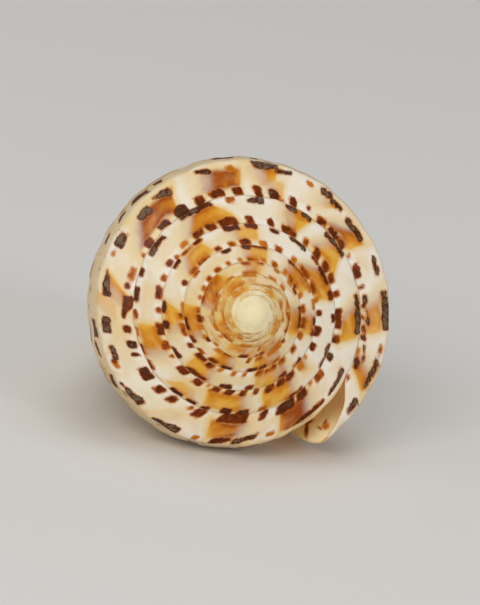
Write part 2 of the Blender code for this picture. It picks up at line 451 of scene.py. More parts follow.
OVER_SEAM_MARKS: dict[int, tuple[Row, ...]] = {
    -1: (
        (-6, -1, 0.0, 0.6, RUST), (5, 12, -0.1, 0.6, DARK), (15, 21, -0.1, 0.6, DARK),
        (27, 31, -0.1, 0.4), (34.5, 40.5, -0.2, 0.4, DARK), (43, 50, -0.2, 0.5, DARK),
        (62, 68, -0.3, 0.35), (70, 76, -0.2, 0.35), (80, 84, 0.0, 0.3, ORANGE),
        (88, 92, 0.0, 0.5, RUST), (96, 103, -0.1, 0.6, DARK), (108.5, 112, -0.1, 0.6),
        (119, 130, 0.15, 0.8, GREY), (141, 150, 0.0, 0.6, GREY), (150, 158, 0.0, 0.7, DARK),
        (165, 169, 0.0, 0.8, RUST), (174.5, 183, 0.0, 0.85, GREY, WEDGE),
        (195, 201, 0.0, 0.6, GREY), (204, 209.5, 0.0, 0.6, GREY), (220, 236, 0.0, 0.6, GREY),
        (257.5, 281, 0.1, 0.62, GREY),
    ),
    -2: (
        (4, 9.5, 0.0, 0.45), (20, 27.5, 0.0, 0.55, DARK), (38, 53, -0.1, 0.5),
        (60.5, 69.5, -0.1, 0.5, DARK), (81, 86, 0.0, 0.7, DARK), (91, 98.5, 0.0, 0.5, DARK),
        (119, 125, 0.0, 0.5, DARK), (128.5, 136, 0.0, 0.45, RUST), (137, 144, 0.0, 0.5),
        (158, 168, 0.0, 0.65, DARK), (172.5, 180, 0.0, 0.6), (188.5, 194.5, 0.1, 0.5, DARK),
        (203, 216, 0.0, 0.4, GREY), (223, 230, 0.0, 0.35), (232, 247, 0.0, 0.5, DARK),
        (252, 259, 0.0, 0.6), (270, 276, 0.0, 0.45, DARK), (292, 300, 0.0, 0.4, GREY),
        (300, 310.5, -0.1, 0.3, GREY), (328, 342, 0.0, 0.3),
    ),
    -3: (
        (-10, -2, 0.0, 0.4), (0.5, 11, 0.0, 0.35, DARK), (25.5, 35, -0.1, 0.4, DARK),
        (39, 48, 0.0, 0.55), (54, 60, 0.0, 0.35, RUST), (66, 73, 0.0, 0.5),
        (77.5, 88, 0.0, 0.45, DARK), (121, 127, 0.0, 0.35, RUST), (150, 158, 0.0, 0.45, DARK),
        (167, 174, 0.0, 0.5, DARK), (172, 188, 0.0, 0.25), (210.5, 222, 0.0, 0.4, DARK),
        (222, 236, 0.0, 0.3), (240, 247, 0.0, 0.35, ORANGE), (255, 265, 0.0, 0.3, ORANGE),
        (272.5, 281, 0.0, 0.35), (284, 291, 0.0, 0.35), (316, 326, -0.1, 0.3), (334, 342, 0.0, 0.4),
    ),
    -5: (
        (10, 28, 0.0, 0.3, ORANGE), (43, 60, -0.1, 0.3, RUST), (95, 118, 0.1, 0.35, ORANGE),
        (160, 178, 0.0, 0.3, ORANGE), (245, 262, 0.0, 0.25, ORANGE), (265, 302, -0.05, 0.3, RUST),
        (318, 340, 0.0, 0.25, ORANGE),
    ),
    -4: (
        (-10, -3, 0.0, 0.45, RUST), (-1, 3, -0.1, 0.3, RUST), (13, 24, -0.1, 0.4),
        (52, 56, 0.0, 0.3, ORANGE), (83, 88, 0.0, 0.3, RUST), (101.5, 119, 0.0, 0.3, RUST),
        (126, 134, 0.0, 0.3, ORANGE), (163, 172, 0.0, 0.4, RUST), (180, 187, 0.0, 0.25, RUST),
        (201, 207, 0.0, 0.3, ORANGE), (222, 230, 0.0, 0.3, RUST), (233, 242, -0.1, 0.3),
        (260, 288, 0.0, 0.3), (333, 343, 0.0, 0.3, RUST),
    ),
}

SHOULDER_MARKS: tuple[Row, ...] = (
    (-57.5, -41, 2.35, 3.65, GREY, SLASH), (-38, -28, 2.8, 3.6), (-29, -14, 2.7, 4.0, DARK, SLASH),
    (-8, -4.5, 3.07, 3.59, ORANGE), (0.5, 11, 2.75, 4.0, GREY, SLASH),
    (11.8, 19.8, 3.0, 4.25, DARK, SLASH), (26, 28, 3.76, 4.28, ORANGE),
    (34, 45, 3.65, 4.5, GREY, COMET), (52, 63, 3.5, 4.5, GREY, COMET), (69, 72.5, 3.56, 4.2, RUST),
    (72, 78, 3.26, 3.9, GREY), (83, 89, 3.17, 4.15, GREY), (97, 107, 3.15, 4.15, GREY, COMET),
    (112, 114, 3.78, 4.17, RUST), (116, 122, 3.26, 4.3, GREY), (129, 135, 2.87, 3.9, GREY),
    (138, 145, 2.97, 4.15, GREY, WEDGE), (156, 162, 3.55, 4.27, GREY, WEDGE),
    (168, 171, 3.31, 4.1, ORANGE), (178, 188, 3.76, 4.6, GREY), (187, 194, 3.52, 4.04, GREY, COMET),
    (201, 203.5, 3.5, 3.89, ORANGE), (207.5, 213, 3.29, 4.07, GREY), (212.5, 219, 3.04, 3.69, GREY),
    (223, 235, 2.6, 3.26, GREY), (243, 252, 2.71, 3.37, GREY, WEDGE),
    (259.5, 277, 2.85, 3.65, GREY), (283.5, 288, 2.78, 3.3, RUST), (291, 299, 2.65, 3.43, GREY),
    (299, 305, 2.58, 3.04, GREY), (310.5, 317.5, 2.5, 3.2, GREY),
)

CLOUDS: dict[int, tuple[Row, ...]] = {
    0: (
        (6.5, 9, 23.5, 22, 1.3, 3.15, 0.75), (38, 43, 43, 50, 2.0, 4.6, -0.5, 0.3),
        (94.5, 100.5, 98.5, 105, 0.9, 3.4, 0.5), (90, 98, 94, 101.5, 2.6, 6.0, -0.3, 0.6),
        (120, 129, 142.5, 145.5, 1.05, 3.5, 0.85), (158.5, 160.5, 172.5, 173, 1.25, 3.55, 0.95),
        (183.5, 180, 187, 188.5, 1.9, 3.95, 0.5), (188, 186, 192.5, 191.5, 0.5, 2.3, 0.2, 0.7),
        (211, 211.5, 213, 218, 2.2, 3.3, 0.3, 0.8), (219, 229, 234, 236.5, 1.0, 2.75, 0.65),
        (266, 261, 280, 278, 0.85, 2.75, 0.35, 0.85),
        (292, 298, 300.5, 306.5, 0.6, 2.75, 0.5, 0.95),
    ),
    -1: (
        (8, 7, 33.5, 31, 0.7, 2.75, 0.15), (41, 36, 48, 53, 1.8, 3.0, 0.05, 0.8),
        (68, 70, 83.5, 85.5, 0.8, 3.2, 0.35), (138, 146, 168, 157.5, 0.8, 3.3, 0.4),
        (200, 196, 205.5, 211, 1.1, 3.7, 0.35), (220, 226, 242, 233.5, 0.9, 2.9, 0.2),
        (272, 263, 288.5, 283, 1.0, 3.0, 0.3), (328, 333, 346, 348.5, 0.8, 3.2, 1.0),
    ),
    -2: (
        (-30, -25, -4, -4, 0.5, 2.7, 0.25), (38, 36, 56, 54.5, 0.55, 2.5, 0.1),
        (81, 78, 93, 98.5, 0.7, 2.3, 0.15), (121, 128, 144.5, 142, 0.6, 2.3, 0.2),
        (164, 163, 180.5, 179, 0.85, 2.5, -0.1, 0.9), (221, 234, 256, 258.5, 0.4, 2.35, 0.35),
        (315, 318, 324, 321, 0.0, 1.1, 0.2), (330, 335, 356, 356, 0.5, 2.7, 0.25),
    ),
    -3: (
        (-22, -20, 1, 3, 0.3, 1.9, 0.3), (28, 25, 44, 46, 0.3, 1.8, 0.3),
        (68, 70, 97, 98, 0.3, 2.3, 0.35), (168, 170, 190, 189, 0.3, 2.1, 0.1, 0.9),
        (211, 216, 242, 245, 0.3, 2.2, 0.3, 0.95), (268, 270, 292, 291, 0.3, 2.1, 0.2, 0.9),
        (338, 341, 361, 363, 0.3, 2.2, 0.2, 0.8),
    ),
    -4: (
        (-24, -20, -5, -4, 0.0, 1.5, 0.3, 0.8), (2, 5, 17, 17, 0.2, 1.5, 0.3, 0.8),
        (14, 14, 43, 41, -0.2, 0.8, 0.5, 0.95), (97, 101, 141, 134, 0.1, 1.9, 0.5),
        (167, 167, 185, 184, 0.1, 1.6, 0.3, 0.8), (258, 263, 301, 297, 0.05, 1.4, 0.4),
        (329, 331, 351, 350, 0.1, 1.5, 0.3, 0.8),
    ),
    -5: (
        (46, 50, 83, 80, 0.0, 1.25, 0.35), (92, 96, 118, 116, -0.1, 0.4, 0.5, 0.7),
        (121, 128, 164, 157, -0.1, 1.1, 0.2), (163, 165, 180, 178, 0.0, 0.8, 0.3, 0.8),
        (236, 240, 290, 285, -0.2, 0.3, 0.4, 0.7), (322, 325, 346, 345, 0.0, 0.9, 0.35, 0.9),
    ),
    -6: (
        (62, 63, 97, 90, 0.1, 1.0, 0.5, 0.75), (126, 128, 161, 158, 0.1, 1.0, 0.45, 1.0),
        (199, 201, 228, 220, 0.0, 0.9, 0.55, 1.0), (278, 282, 330, 325, 0.0, 0.7, 0.5, 1.0),
    ),
}

HOLLOW_SPOTS: tuple[Row, ...] = (
    (348.5, 379.5, 2.6, 1.3, -60.0), (326.1, 426.7, 3.2, 2.6, 40.0, ORANGE),
    (325.6, 423.3, 2.0, 0.8, 60.0), (320.2, 428.9, 1.3, 0.6, -30.0), (307.0, 430.5, 6.5, 1.7, 85.0),
    (310.5, 422.5, 2.6, 1.2, 30.0), (343.3, 412.3, 4.2, 0.5, 72.0, RUST),
)




@dataclass(frozen=True)
class Seen:
    """What the camera sees: running angles in degrees, and millimetres from the middle and across."""

    angle: Array
    distance: Array
    heights: dict[Edge, Array]


@dataclass
class Pattern:
    """Lays the marks and clouds out on the shell, in millimetres as the camera sees them."""

    form: ShellForm
    view: PhotoView
    slant_mean: float = 0.04
    slant_swing: float = 0.42
    slant_turned: float = 20.0
    full_size_at: float = 18.0
    reach: float = 40.0
    overshoot: float = 0.2
    corner: float = 0.24
    corner_share: float = 0.42
    tail: float = 0.22
    comet_start: float = 0.3
    comet_power: float = 0.8
    wedge_end: float = 0.7
    slash_width: float = 0.26
    least_size: float = 0.4
    soft_start: float = 1.2
    soft_end: float = 0.35
    soft_side: float = 0.6
    fringe: float = 0.8
    fringe_yellow: float = 0.55
    veil_before: float = 2.3
    veil_after: float = 1.2
    band_start: float = -64.0
    band_end: float = -6.0
    band_fade: float = 8.0
    band_width: float = 0.38
    band_edge: float = 1.5
    wander_size: float = 0.09
    wander_within: float = 5.5
    wander_fade: float = 2.0
    wander_waves: tuple[Wave, ...] = (Wave(5.3), Wave(8.9, 60.0), Wave(3.1, 150.0))
    curve_start: float = -3600.0
    curve_end: float = 400.0

    def seam_curve(self, at_rim: bool) -> tuple[Array, Array]:
        """The seam as the camera sees it.

        Args:
            at_rim: the whorl's outer edge instead of its inner seam.

        Returns:
            Seen running angles in degrees and seen distances in millimetres.
        """
        angle = np.arange(self.curve_start, self.curve_end, 1.0)
        share = np.full(angle.shape, 1.0 if at_rim else 0.0)
        radius, depth = self.form.ramp_point(angle, share)
        return self.view.polar(around_axis(angle, radius, depth), angle)

    def lay_out(self, places: Array, angle: Array) -> Values:
        """Work out every pattern value on the ramp.

        Args:
            places: points about the shell's own axis.
            angle: their running angles in degrees.

        Returns:
            Arrays by attribute name, each of the same shape as angle.
        """
        around, distance = self.view.polar(places, angle)
        distance = distance + self.wander(around, distance)
        heights = {
            Edge.INNER_SEAM: distance - np.interp(around, *self.seam_curve(False)),
            Edge.OUTER_SEAM: np.interp(around, *self.seam_curve(True)) - distance,
        }
        seen = Seen(around, distance, heights)
        names = ("mark", "mark_tone", "cloud", "cloud_red", "cloud_depth", "veil")
        values = {name: np.full(angle.shape, PLAIN.get(name, 0.0)) for name in names}
        rows = (
            (UNDER_SEAM_MARKS, Edge.INNER_SEAM),
            (OVER_SEAM_MARKS, Edge.OUTER_SEAM),
            ({0: SHOULDER_MARKS}, Edge.INNER_SEAM),
        )
        for table, edge in rows:
            for turn, marks in table.items():
                for mark in marks:
                    self.add_mark(values, Mark(*mark), turn, seen, edge)
        for turn, clouds in CLOUDS.items():
            for cloud in clouds:
                self.add_cloud(values, Cloud(*cloud), turn, seen)
        values["band"] = self.bare_band(angle, heights[Edge.OUTER_SEAM])
        values["mark"] = values["mark"] + values["band"]
        return values

    def wander(self, seen: Array, distance: Array) -> Array:
        """Millimetres by which the pattern of the oldest whorls wanders in and out.

        Args:
            seen: seen running angles in degrees.
            distance: seen distances from the middle in millimetres.

        Returns:
            Three sines added up, fading out away from the apex.
        """
        wave = add_waves(seen, self.wander_waves)
        return self.wander_size * wave * soft_step((self.wander_within - distance) / self.wander_fade)

    def bare_band(self, angle: Array, height: Array) -> Array:
        """The plain band along the rim beside the opening: 1 on it, fading to 0 at its borders.

        Args:
            angle: running angles in degrees.
            height: millimetres inward from the rim.

        Returns:
            How far each place is on the band.
        """
        begun = soft_step((angle - self.band_start) / self.band_fade)
        ended = soft_step((self.band_end - angle) / self.band_fade)
        return begun * ended * soft_step(self.band_edge - height / self.band_width)

    def add_mark(self, values: Values, mark: Mark, turn: int, seen: Seen, edge: Edge) -> None:
        """Join one mark to the signed distance of them all, below zero inside a mark.

        The distance is that of a box with round corners, in a frame whose upright sides are
        slanted. A comet's low side climbs to its high side along the mark, a wedge's does so
        the other way round, and both sides of a slash climb.

        Args:
            values: the pattern arrays, changed in place.
            mark: the mark.
            turn: the whorl it is on, 0 for the last.
            seen: what the camera sees.
            edge: what the mark's height is measured from.
        """
        start = mark.start + TURN * turn
        end = mark.end + TURN * turn
        near = (seen.angle > start - self.reach) & (seen.angle < end + self.reach)
        angle = seen.angle[near]
        low = mark.low
        high = mark.high
        height = seen.heights[edge][near]
        outward = -1.0 if edge is Edge.OUTER_SEAM else 1.0
        middle = (low + high) / 2.0
        per_degree = np.radians(seen.distance[near])
        slant = self.slant_swing * np.cos(np.radians(angle - self.slant_turned)) + self.slant_mean
        along = (angle - (start + end) / 2.0) * per_degree - slant * outward * (height - middle)
        half = (end - start) / 2.0 * per_degree
        part = np.clip((along / half + 1.0) / 2.0, 0.0, 1.0)
        if mark.shape is Shape.COMET:
            climb = np.clip((part - self.comet_start) / (1.0 - self.comet_start), 0.0, 1.0)
            low = low + (high - self.tail - low) * climb ** self.comet_power
        if mark.shape is Shape.WEDGE:
            low = low + (high - self.tail - low) * np.clip(1.0 - part / self.wedge_end, 0.0, 1.0)
        if mark.shape is Shape.SLASH:
            centre = low + (high - low) * (self.slash_width + (1.0 - 2.0 * self.slash_width) * part)
            thick = (high - low) * self.slash_width
            low = centre - thick
            high = centre + thick
        corner = np.minimum(self.corner, np.minimum(high - low, 2.0 * half) * self.corner_share)
        out_along = np.abs(along) - half + corner
        out_across = np.maximum(low - height, height - high) + corner
        beyond = np.hypot(np.maximum(out_along, 0.0), np.maximum(out_across, 0.0))
        gap = beyond + np.minimum(np.maximum(out_along, out_across), 0.0) - corner
        nearer = gap < values["mark"][near]
        values["mark"][near] = np.where(nearer, gap, values["mark"][near])
        values["mark_tone"][near] = np.where(nearer, mark.tone.value, values["mark_tone"][near])

    def add_cloud(self, values: Values, cloud: Cloud, turn: int, seen: Seen) -> None:
        """Join one cloud: it fades in along the whorl behind a grey veil and ends crisply.

        What is kept is the distance past the cloud's nearest border, divided by how soft that
        border is, so that the border runs from one half below zero to one half above it. The
        cloud is yellower along the side where it ends.

        Args:
            values: the pattern arrays, changed in place.
            cloud: the cloud.
            turn: the whorl it is on, 0 for the last.
            seen: what the camera sees.
        """
        whorl = TURN * turn
        near = seen.angle > cloud.start_low + whorl - self.reach
        near = near & (seen.angle < cloud.end_low + whorl + self.reach)
        angle = seen.angle[near]
        height = seen.heights[Edge.INNER_SEAM][near]
        per_degree = np.radians(seen.distance[near])
        size = np.maximum(seen.distance[near] / self.full_size_at, self.least_size)
        part = (height - cloud.low) / (cloud.high - cloud.low)
        part = np.clip(part, -self.overshoot, 1.0 + self.overshoot)
        start = cloud.start_low + (cloud.start_high - cloud.start_low) * part + whorl
        end = cloud.end_low + (cloud.end_high - cloud.end_low) * part + whorl
        after_start = (angle - start) * per_degree
        before_end = (end - angle) * per_degree
        across = np.minimum(height - cloud.low, cloud.high - height)
        ends = np.minimum(before_end / self.soft_end, across / self.soft_side)
        gap = -np.minimum(after_start / (self.soft_start * size), ends)
        red = cloud.red - self.fringe_yellow * np.exp(-np.maximum(before_end, 0.0) / (self.fringe * size))
        nearer = gap < values["cloud"][near]
        values["cloud"][near] = np.where(nearer, gap, values["cloud"][near])
        values["cloud_red"][near] = np.where(nearer, red, values["cloud_red"][near])
        values["cloud_depth"][near] = np.where(nearer, cloud.depth, values["cloud_depth"][near])
        begun = after_start / (self.veil_before * size) + 0.5
        veil = -np.minimum(np.minimum(begun, 0.5 - after_start / self.veil_after), ends)
        values["veil"][near] = np.minimum(values["veil"][near], veil)


@dataclass
class Sheet:
    """A grid of vertex numbers with pattern values of its own at every grid place."""

    vertices: Array
    values: Values

    def quads(self, keep: Array | None = None) -> tuple[Array, Values]:
        """Four-cornered faces between neighbours on the grid.

        Args:
            keep: which of the faces are wanted, all by default.

        Returns:
            Vertex numbers, and each value at the same corners.
        """

        def corners(grid: Array) -> Array:
            """A grid's numbers at the four corners of each wanted face.

            Args:
                grid: one number for each grid place.

            Returns:
                Four numbers for each face.
            """
            stacked = np.stack((grid[:-1, :-1], grid[1:, :-1], grid[1:, 1:], grid[:-1, 1:]), axis=-1)
            return stacked.reshape(-1, 4) if keep is None else stacked[keep]

        return corners(self.vertices), {name: corners(grid) for name, grid in self.values.items()}


VALUE_NAMES = (
    "mark", "mark_tone", "cloud", "cloud_red", "cloud_depth", "veil", "seam", "inside", "margin",
    "band", "warmth", "down", "turns", "across",
)
PLAIN = {
    "mark": 3.0, "cloud": 3.0, "veil": 3.0, "cloud_red": 0.3, "seam": 3.0, "inside": 1.0, "margin": 9.0,
}


@dataclass
class MeshParts:
    """Gathers places, faces and corner values until they become one Blender mesh."""

    places: list[Array] = field(default_factory=list)
    count: int = 0
    faces: list[list[int]] = field(default_factory=list)
    values: dict[str, list[Array]] = field(
        default_factory=lambda: {name: [] for name in VALUE_NAMES}
    )

    def add_places(self, places: Array) -> Array:
        """Add places to the mesh.

        Args:
            places: a grid of points, with x, y, z last.

        Returns:
            Their vertex numbers, in the same grid.
        """
        numbers = self.count + np.arange(places[..., 0].size).reshape(places.shape[:-1])
        self.places.append(places.reshape(-1, 3))
        self.count += numbers.size
        return numbers

    def add_sheet(self, sheet: Sheet, keep: Array | None = None) -> None:
        """Add a sheet's faces with their corner values.

        Args:
            sheet: the grid of vertex numbers and its values.
            keep: which of its faces are wanted, all by default.
        """
        faces, values = sheet.quads(keep)
        self.faces.extend(faces.tolist())
        for name in VALUE_NAMES:
            self.values[name].append(values[name].reshape(-1))

    def add_fan(self, ring: Array, centre: int, values: dict[str, float]) -> None:
        """Add triangles from each step of an open ring to one centre.

        Args:
            ring: vertex numbers along the ring.
            centre: the vertex they all meet.
            values: one number for each value that isn't plain.
        """
        steps = np.stack((ring[:-1], ring[1:], np.full(len(ring) - 1, centre)), axis=-1)
        self.faces.extend(steps.tolist())
        for name in VALUE_NAMES:
            self.values[name].append(np.full(steps.size, values.get(name, 0.0)))


@dataclass
class ConeShell:
    """The whole shell: outer whorls, hollow behind the lip, rounded edges and its pattern."""

    form: ShellForm
    pattern: Pattern
    node: str = "shell"
    steps_per_turn: int = 300
    turns_back: float = 9.5
    ramp_steps: int = 20
    side_steps: int = 38
    lean_within: float = 70.0
    side_spread: float = 1.35
    edge_steps: int = 4
    edge_share: float = 0.032
    edge_bulge: float = 0.28 * MM
    hollow_angle: float = 300.0
    slope_step: float = 2.0
    ripple: float = 0.035 * MM
    ripple_waves: tuple[Wave, ...] = (Wave(23.0), Wave(9.7, 40.0), Wave(41.0, 80.0, 0.6))
    full_chord: float = 6.5
    least_line: float = 0.35
    lower_seam: float = 0.6
    warm_side: float = 68.0
    map_width: float = 10.0
    shift: Array = field(default_factory=lambda: np.zeros(3))

    def columns(self) -> tuple[int, int, int, int]:
        """Column numbers that the sheets share.

        Returns:
            Those of the lip, one turn of a seam, the hollow's start and the side's start.
        """
        last = round(self.turns_back * self.steps_per_turn)
        around = self.steps_per_turn
        hollow = last - round(self.hollow_angle * self.steps_per_turn / TURN)
        return last, around, hollow, hollow - around

    def ramp_shares(self) -> Array:
        """Shares of the ramp at its rows."""
        return np.linspace(0.0, 1.0, self.ramp_steps + 1)

    def side_shares(self) -> Array:
        """Shares of the side below the rim: a few close rows at the lip's edge, then wider ones.

        Returns:
            The shares, rising to 1.
        """
        close = self.edge_share * np.arange(1, self.edge_steps + 1) / self.edge_steps
        wide_steps = self.side_steps - self.edge_steps
        rest = (np.arange(1, wide_steps + 1) / wide_steps) ** self.side_spread
        return np.concatenate((close, self.edge_share + (1.0 - self.edge_share) * rest))

    def surface(self, stage: Array) -> Values:
        """The outer surface for stages of growth, one column each.

        A row on the ramp is ramp_point at its share, and one on the side is side_point. The
        columns are straight until shortly before the lip, where they take up the lip's lead
        little by little, so that the last one is the lip's edge. A faint ripple follows the
        growth lines.

        Args:
            stage: stages of growth in degrees.

        Returns:
            Grids of places, running angles, ramp shares, millimetres below the rim, and
            the growth line that each place is on.
        """
        ramp = self.ramp_shares()[None, :]
        side = self.side_shares()[None, :]
        column = stage[:, None]
        ramp_lead = self.form.growth_lean(ramp, np.zeros_like(ramp))
        side_lead = self.form.growth_lean(np.ones_like(side), side * self.form.length)
        taken_up = soft_step((column - self.form.lip_angle) / self.lean_within + 1.0)
        ramp_angle = column + self.form.lip_lead(ramp, np.zeros_like(ramp)) * taken_up
        side_angle = column + self.form.lip_lead(np.ones_like(side), side * self.form.length) * taken_up
        ramp_radius, ramp_depth = self.form.ramp_point(ramp_angle, ramp)
        side_radius, side_depth = self.form.side_point(side_angle, side)
        rim_depth = self.form.spire_depth(self.form.rim_radius(side_angle))
        angle = np.hstack((ramp_angle, side_angle))
        radius = np.hstack((ramp_radius, side_radius))
        depth = np.hstack((ramp_depth, side_depth))
        line = angle - np.hstack((ramp_lead, side_lead))
        wave = add_waves(line, self.ripple_waves)
        radius = radius + self.ripple * wave * radius / self.form.seam_radius_at_zero
        below = np.hstack((np.zeros_like(ramp_depth), side_depth - rim_depth))
        share = np.hstack((ramp + 0.0 * column, 1.0 + 0.0 * (side + column)))
        return {
            "places": around_axis(angle, radius, depth),
            "angle": angle,
            "share": share,
            "below": below / MM,
            "line": line,
        }

    def inner_wall(self, stage: Array) -> Array:
        """The hollow's wall: the outer surface moved in along its normal by the wall's thickness.

        Args:
            stage: stages of growth in degrees.

        Returns:
            A grid of places; its first row is left to the whorl before.
        """
        here = self.surface(stage)["places"]
        ahead = self.surface(stage + self.slope_step)["places"]
        along = ahead - self.surface(stage - self.slope_step)["places"]
        across = np.gradient(here, axis=1)
        inward = np.cross(across, along)
        inward = inward / np.linalg.norm(inward, axis=-1, keepdims=True)
        opened = np.clip((self.form.lip_angle - stage) / self.form.lip_bevel_angle, 0.0, 1.0)
        thickness = self.form.lip_edge + (self.form.wall - self.form.lip_edge) * opened
        return here + inward * thickness[:, None, None]

    def rounded_edge(self, outer: Array, inner: Array, beyond: Array) -> Array:
        """Places between an outer and an inner edge that bulge as half a sine.

        Args:
            outer: places on the outer edge.
            inner: places on the inner edge.
            beyond: unit directions out of the edge.

        Returns:
            A grid of places, with the two edges left out.
        """
        part = (np.arange(1, self.edge_steps) / self.edge_steps)[None, :, None]
        straight = outer[:, None, :] * (1.0 - part) + inner[:, None, :] * part
        return straight + beyond[:, None, :] * self.edge_bulge * np.sin(np.pi * part)

    def grow(self) -> MeshParts:
        """Build every sheet of the shell, joined to its neighbours by shared vertices.

        Returns:
            The parts of one closed mesh about the shell's own axis.
        """
        last, around, hollow, side_start = self.columns()
        parts = MeshParts()
        stage = self.form.lip_angle + (np.arange(last + 1) - last) * TURN / self.steps_per_turn
        surface = self.surface(stage)
        rim = self.ramp_steps
        front = rim + self.side_steps
        edge_row = rim + self.edge_steps
        outer = parts.add_places(surface["places"])
        outer[around:, 0] = outer[:-around, rim]
        values = self.outer_values(stage, surface, last - around)
        column = np.arange(last)[:, None]
        row = np.arange(front)[None, :]
        keep = (row < rim) | (column >= side_start)
        keep = keep & ~((row >= rim) & (row < edge_row) & (column < last - around))
        parts.add_sheet(Sheet(outer, values), keep)

        wall = self.inner_wall(stage[hollow:])
        inner = parts.add_places(wall)
        inner[:, 0] = outer[hollow - around:last - around + 1, edge_row]
        inside = self.inner_values(surface, hollow)
        parts.add_sheet(Sheet(inner, inside))

        growth = surface["places"][last] - surface["places"][last - 1]
        growth = growth / np.linalg.norm(growth, axis=-1, keepdims=True)
        lip = np.zeros((front + 1, self.edge_steps + 1), dtype=int)
        lip[:, 1:-1] = parts.add_places(self.rounded_edge(surface["places"][last], wall[-1], growth))
        lip[:, 0] = outer[last]
        lip[:, -1] = inner[-1]
        lip[0, :] = outer[last - around, rim:edge_row + 1]
        parts.add_sheet(Sheet(lip, self.edge_values(values, last)))

        down = np.tile(np.array((0.0, 1.0, 0.0)), (last + 1 - hollow, 1))
        front_edge = np.zeros((last + 1 - hollow, self.edge_steps + 1), dtype=int)
        rounded = self.rounded_edge(surface["places"][hollow:, front], wall[:, front], down)
        front_edge[:, 1:-1] = parts.add_places(rounded)
        front_edge[:, 0] = outer[hollow:, front]
        front_edge[:, -1] = inner[:, front]
        front_edge[-1, :] = lip[front, :]
        parts.add_sheet(Sheet(front_edge, self.plain_values(front_edge.shape)))

        parts.add_fan(inner[0, 1:edge_row + 1], inner[0, 0], PLAIN)
        cap = np.stack((inner[0, edge_row:], outer[side_start, edge_row:]), axis=0)
        parts.add_sheet(Sheet(cap, self.plain_values(cap.shape)))
        core = np.concatenate((outer[side_start:hollow, front], front_edge[0]))
        tip = parts.add_places(np.array([(0.0, self.form.length - self.form.front_step, 0.0)]))[0]
        parts.add_fan(np.append(core, core[0]), tip, PLAIN)
        start = np.concatenate((outer[:around, 0], outer[0, rim::-1]))
        apex = parts.add_places(np.array([(0.0, self.form.apex_blunting, 0.0)]))[0]
        parts.add_fan(start, apex, PLAIN | {"inside": 0.0, "turns": stage[0] / TURN})
        return parts

    def outer_values(self, stage: Array, surface: Values, free: int) -> Values:
        """Pattern values on the outer sheet.

        Args:
            stage: stages of growth in degrees.
            surface: what surface gives for them.
            free: the first column whose rim no later whorl covers.

        Returns:
            A grid for each value.
        """
        share = surface["share"]
        values = self.plain_values(share.shape)
        ramp = slice(0, self.ramp_steps + 1)
        laid_out = self.pattern.lay_out(surface["places"][:, ramp], surface["angle"][:, ramp])
        for name, grid in laid_out.items():
            values[name][:, ramp] = grid
        chord = self.form.ramp_chord(surface["angle"]) / MM
        covered = (np.arange(len(stage)) < free)[:, None]
        to_seam = np.where(covered, np.minimum(share, (1.0 - share) * self.lower_seam), share)
        size = np.clip(chord / self.full_chord, self.least_line, 1.0)
        values["seam"] = np.where(surface["below"] > 0.0, PLAIN["seam"], to_seam * chord / size)
        values["inside"] = np.where(covered & (surface["below"] > 0.0), 1.0, 0.0)
        above = np.where(covered, -self.full_chord, (share - 1.0) * chord)
        values["down"] = np.where(surface["below"] > 0.0, surface["below"], above)
        values["turns"] = surface["line"] / TURN
        values["across"] = share * chord + surface["below"]
        values["warmth"] = 0.5 + 0.5 * np.cos(np.radians(surface["angle"] - self.warm_side))
        return values

    def inner_values(self, surface: Values, hollow: int) -> Values:
        """Values on the hollow's wall: above all the distance in from the lip's edge.

        Args:
            surface: what surface gives for all the columns.
            hollow: the first column of the wall.

        Returns:
            A grid for each value.
        """
        share = surface["share"][hollow:]
        values = self.plain_values(share.shape)
        values["down"] = surface["below"][hollow:]
        values["turns"] = surface["line"][hollow:] / TURN
        values["across"] = share * self.full_chord + values["down"]
        steps = np.arange(share.shape[0])[::-1, None]
        radius = np.linalg.norm(surface["places"][hollow:][..., [0, 2]], axis=-1)
        values["margin"] = np.radians(steps * TURN / self.steps_per_turn) * radius / MM
        return values

    def edge_values(self, outer: Values, last: int) -> Values:
        """Values on the lip's edge: those of the outer sheet there, fading to the inside's.

        Args:
            outer: the outer sheet's values.
            last: the lip's column.

        Returns:
            A grid for each value.
        """
        part = np.linspace(0.0, 1.0, self.edge_steps + 1)[None, :]
        values = {name: outer[name][last][:, None] + 0.0 * part for name in VALUE_NAMES}
        values["inside"] = 0.0 * values["inside"] + part
        values["margin"] = 0.0 * values["margin"]
        values["mark"] = values["mark"] + part
        return values

    def plain_values(self, shape: tuple[int, ...]) -> Values:
        """The same plain value all over a grid, for each value."""
        return {name: np.full(shape, PLAIN.get(name, 0.0)) for name in VALUE_NAMES}

    def build(self) -> bpy.types.Object:
        """Make the Blender object, laid down in the CAD node's place.

        Returns:
            The finished object, at the origin, with its place in its mesh.
        """
        parts = self.grow()
        places = np.concatenate(parts.places) @ self.form.lay_down().T
        corners = np.fromiter(flatten(parts.faces), dtype=np.int64)
        used, numbers = np.unique(corners, return_inverse=True)
        places = places[used]
        low, high = (np.array(corner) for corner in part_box(self.node))
        self.shift = (low + high) / 2.0 - (places.min(axis=0) + places.max(axis=0)) / 2.0
        self.shift[2] = low[2] - places[:, 2].min()
        places = places + self.shift
        faces = regroup(numbers, [len(face) for face in parts.faces])
        data = bpy.data.meshes.new("cone_shell")
        data.from_pydata(places.tolist(), [], faces)
        self.write_values(data, parts)
        point_faces_out(data)
        data.shade_smooth()
        shell = bpy.data.objects.new("cone_shell", data)
        bpy.context.scene.collection.objects.link(shell)
        return shell

